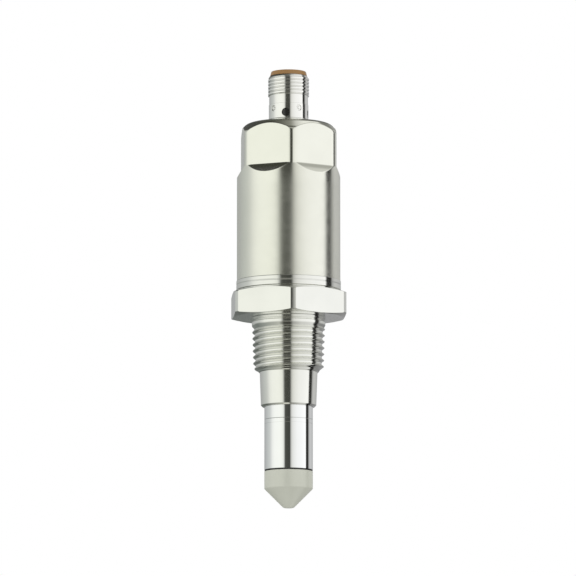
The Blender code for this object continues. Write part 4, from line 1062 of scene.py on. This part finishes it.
def make_floor():
    material, tree, shader = new_material("floor_paper", PAPER, 0.9)
    path = tree.nodes.new("ShaderNodeLightPath")
    colour = mixed(tree, path.outputs["Is Camera Ray"], PAPER_BELOW, PAPER)
    tree.links.new(colour, shader.inputs["Base Color"])
    bpy.ops.mesh.primitive_plane_add(size=40.0, location=(0.0, 0.0, FLOOR_HEIGHT))
    floor = bpy.context.object
    floor.name = "floor"
    floor.data.materials.append(material)
    floor.visible_glossy = False


def make_world():
    world = bpy.data.worlds.new("studio")
    world.use_nodes = True
    background = world.node_tree.nodes["Background"]
    background.inputs["Color"].default_value = (1.0, 1.0, 1.0, 1.0)
    background.inputs["Strength"].default_value = 1.0
    bpy.context.scene.world = world


def finish_inner_nodes():
    """Procedural finishes for the pieces inside the shells."""
    finishes = {
        "light_guide": plastic("light_guide", (0.80, 0.84, 0.82), (0.72, 0.78, 0.76), 0.12),
        "status_lamp": plastic("status_lamp", (0.80, 0.85, 0.40), (0.70, 0.78, 0.32), 0.3),
        "seal_rubber": bpy.data.materials["seal_rubber"],
        "circuit_board": plastic("circuit_board", (0.03, 0.20, 0.09), (0.02, 0.15, 0.07), 0.45),
        "chip_black": plastic("chip_black", (0.02, 0.02, 0.022), (0.03, 0.03, 0.032), 0.5, 0.3),
        "ferrite": plastic("ferrite", (0.07, 0.07, 0.08), (0.04, 0.04, 0.045), 0.6, 0.4),
        "capacitor_can": steel("capacitor_can", (0.72, 0.73, 0.75), (0.64, 0.65, 0.67), 0.3, 0.4, 0.05),
        "holder_plastic": plastic("holder_plastic", (0.75, 0.75, 0.71), (0.68, 0.68, 0.64), 0.45),
        "link_film": plastic("link_film", (0.55, 0.28, 0.05), (0.45, 0.22, 0.04), 0.3),
        "spring_bronze": steel("spring_bronze", (0.75, 0.50, 0.25), (0.66, 0.42, 0.20), 0.25, 0.35, 0.05),
        "electrode_brass": steel("electrode_brass", (0.80, 0.62, 0.30), (0.72, 0.54, 0.24), 0.25, 0.35, 0.15),
    }
    slots = {row["node"]: row["material_slot"] for row in frame["record"]["subparts"]}
    for name, node in frame["nodes"].items():
        if slots[name] in finishes and not node.hide_render:
            node.data.materials.clear()
            node.data.materials.append(finishes[slots[name]])


def main():
    brushed = steel("steel_brushed", (0.82, 0.825, 0.75), (0.79, 0.795, 0.72), 0.23, 0.27, 0.10, FLAT_FOOT)
    turned = steel("steel_turned", (0.825, 0.83, 0.79), (0.79, 0.795, 0.755), 0.09, 0.13, 0.08)
    bright = steel("steel_bright", (0.86, 0.86, 0.835), (0.83, 0.83, 0.80), 0.06, 0.11, 0.04)
    polished = steel("steel_polished", (0.875, 0.885, 0.885), (0.855, 0.865, 0.865), 0.035, 0.06, 0.015)
    make_housing(brushed)
    make_process_fitting(turned)
    make_connector_sleeve(bright)
    make_status_windows(plastic("smoked_window", (0.015, 0.015, 0.013), (0.022, 0.022, 0.02), 0.12, 0.02))
    make_contact_carrier(plastic("amber_plastic", (0.345, 0.19, 0.066), (0.31, 0.168, 0.056), 0.32))
    make_contact_pins(steel("gold_plating", (0.90, 0.66, 0.28), (0.85, 0.60, 0.24), 0.15, 0.22, 0.03))
    make_probe_tube(polished)
    make_tip_seal(plastic("seal_rubber", (0.012, 0.013, 0.013), (0.02, 0.02, 0.02), 0.5, 0.3))
    make_sensing_tip(plastic("tip_plastic", (0.60, 0.615, 0.525), (0.57, 0.585, 0.495), 0.30, shine=1.0))
    finish_inner_nodes()
    make_world()
    make_tent()
    make_floor()
    make_camera()
    bpy.context.scene.view_settings.view_transform = "Standard"


main()
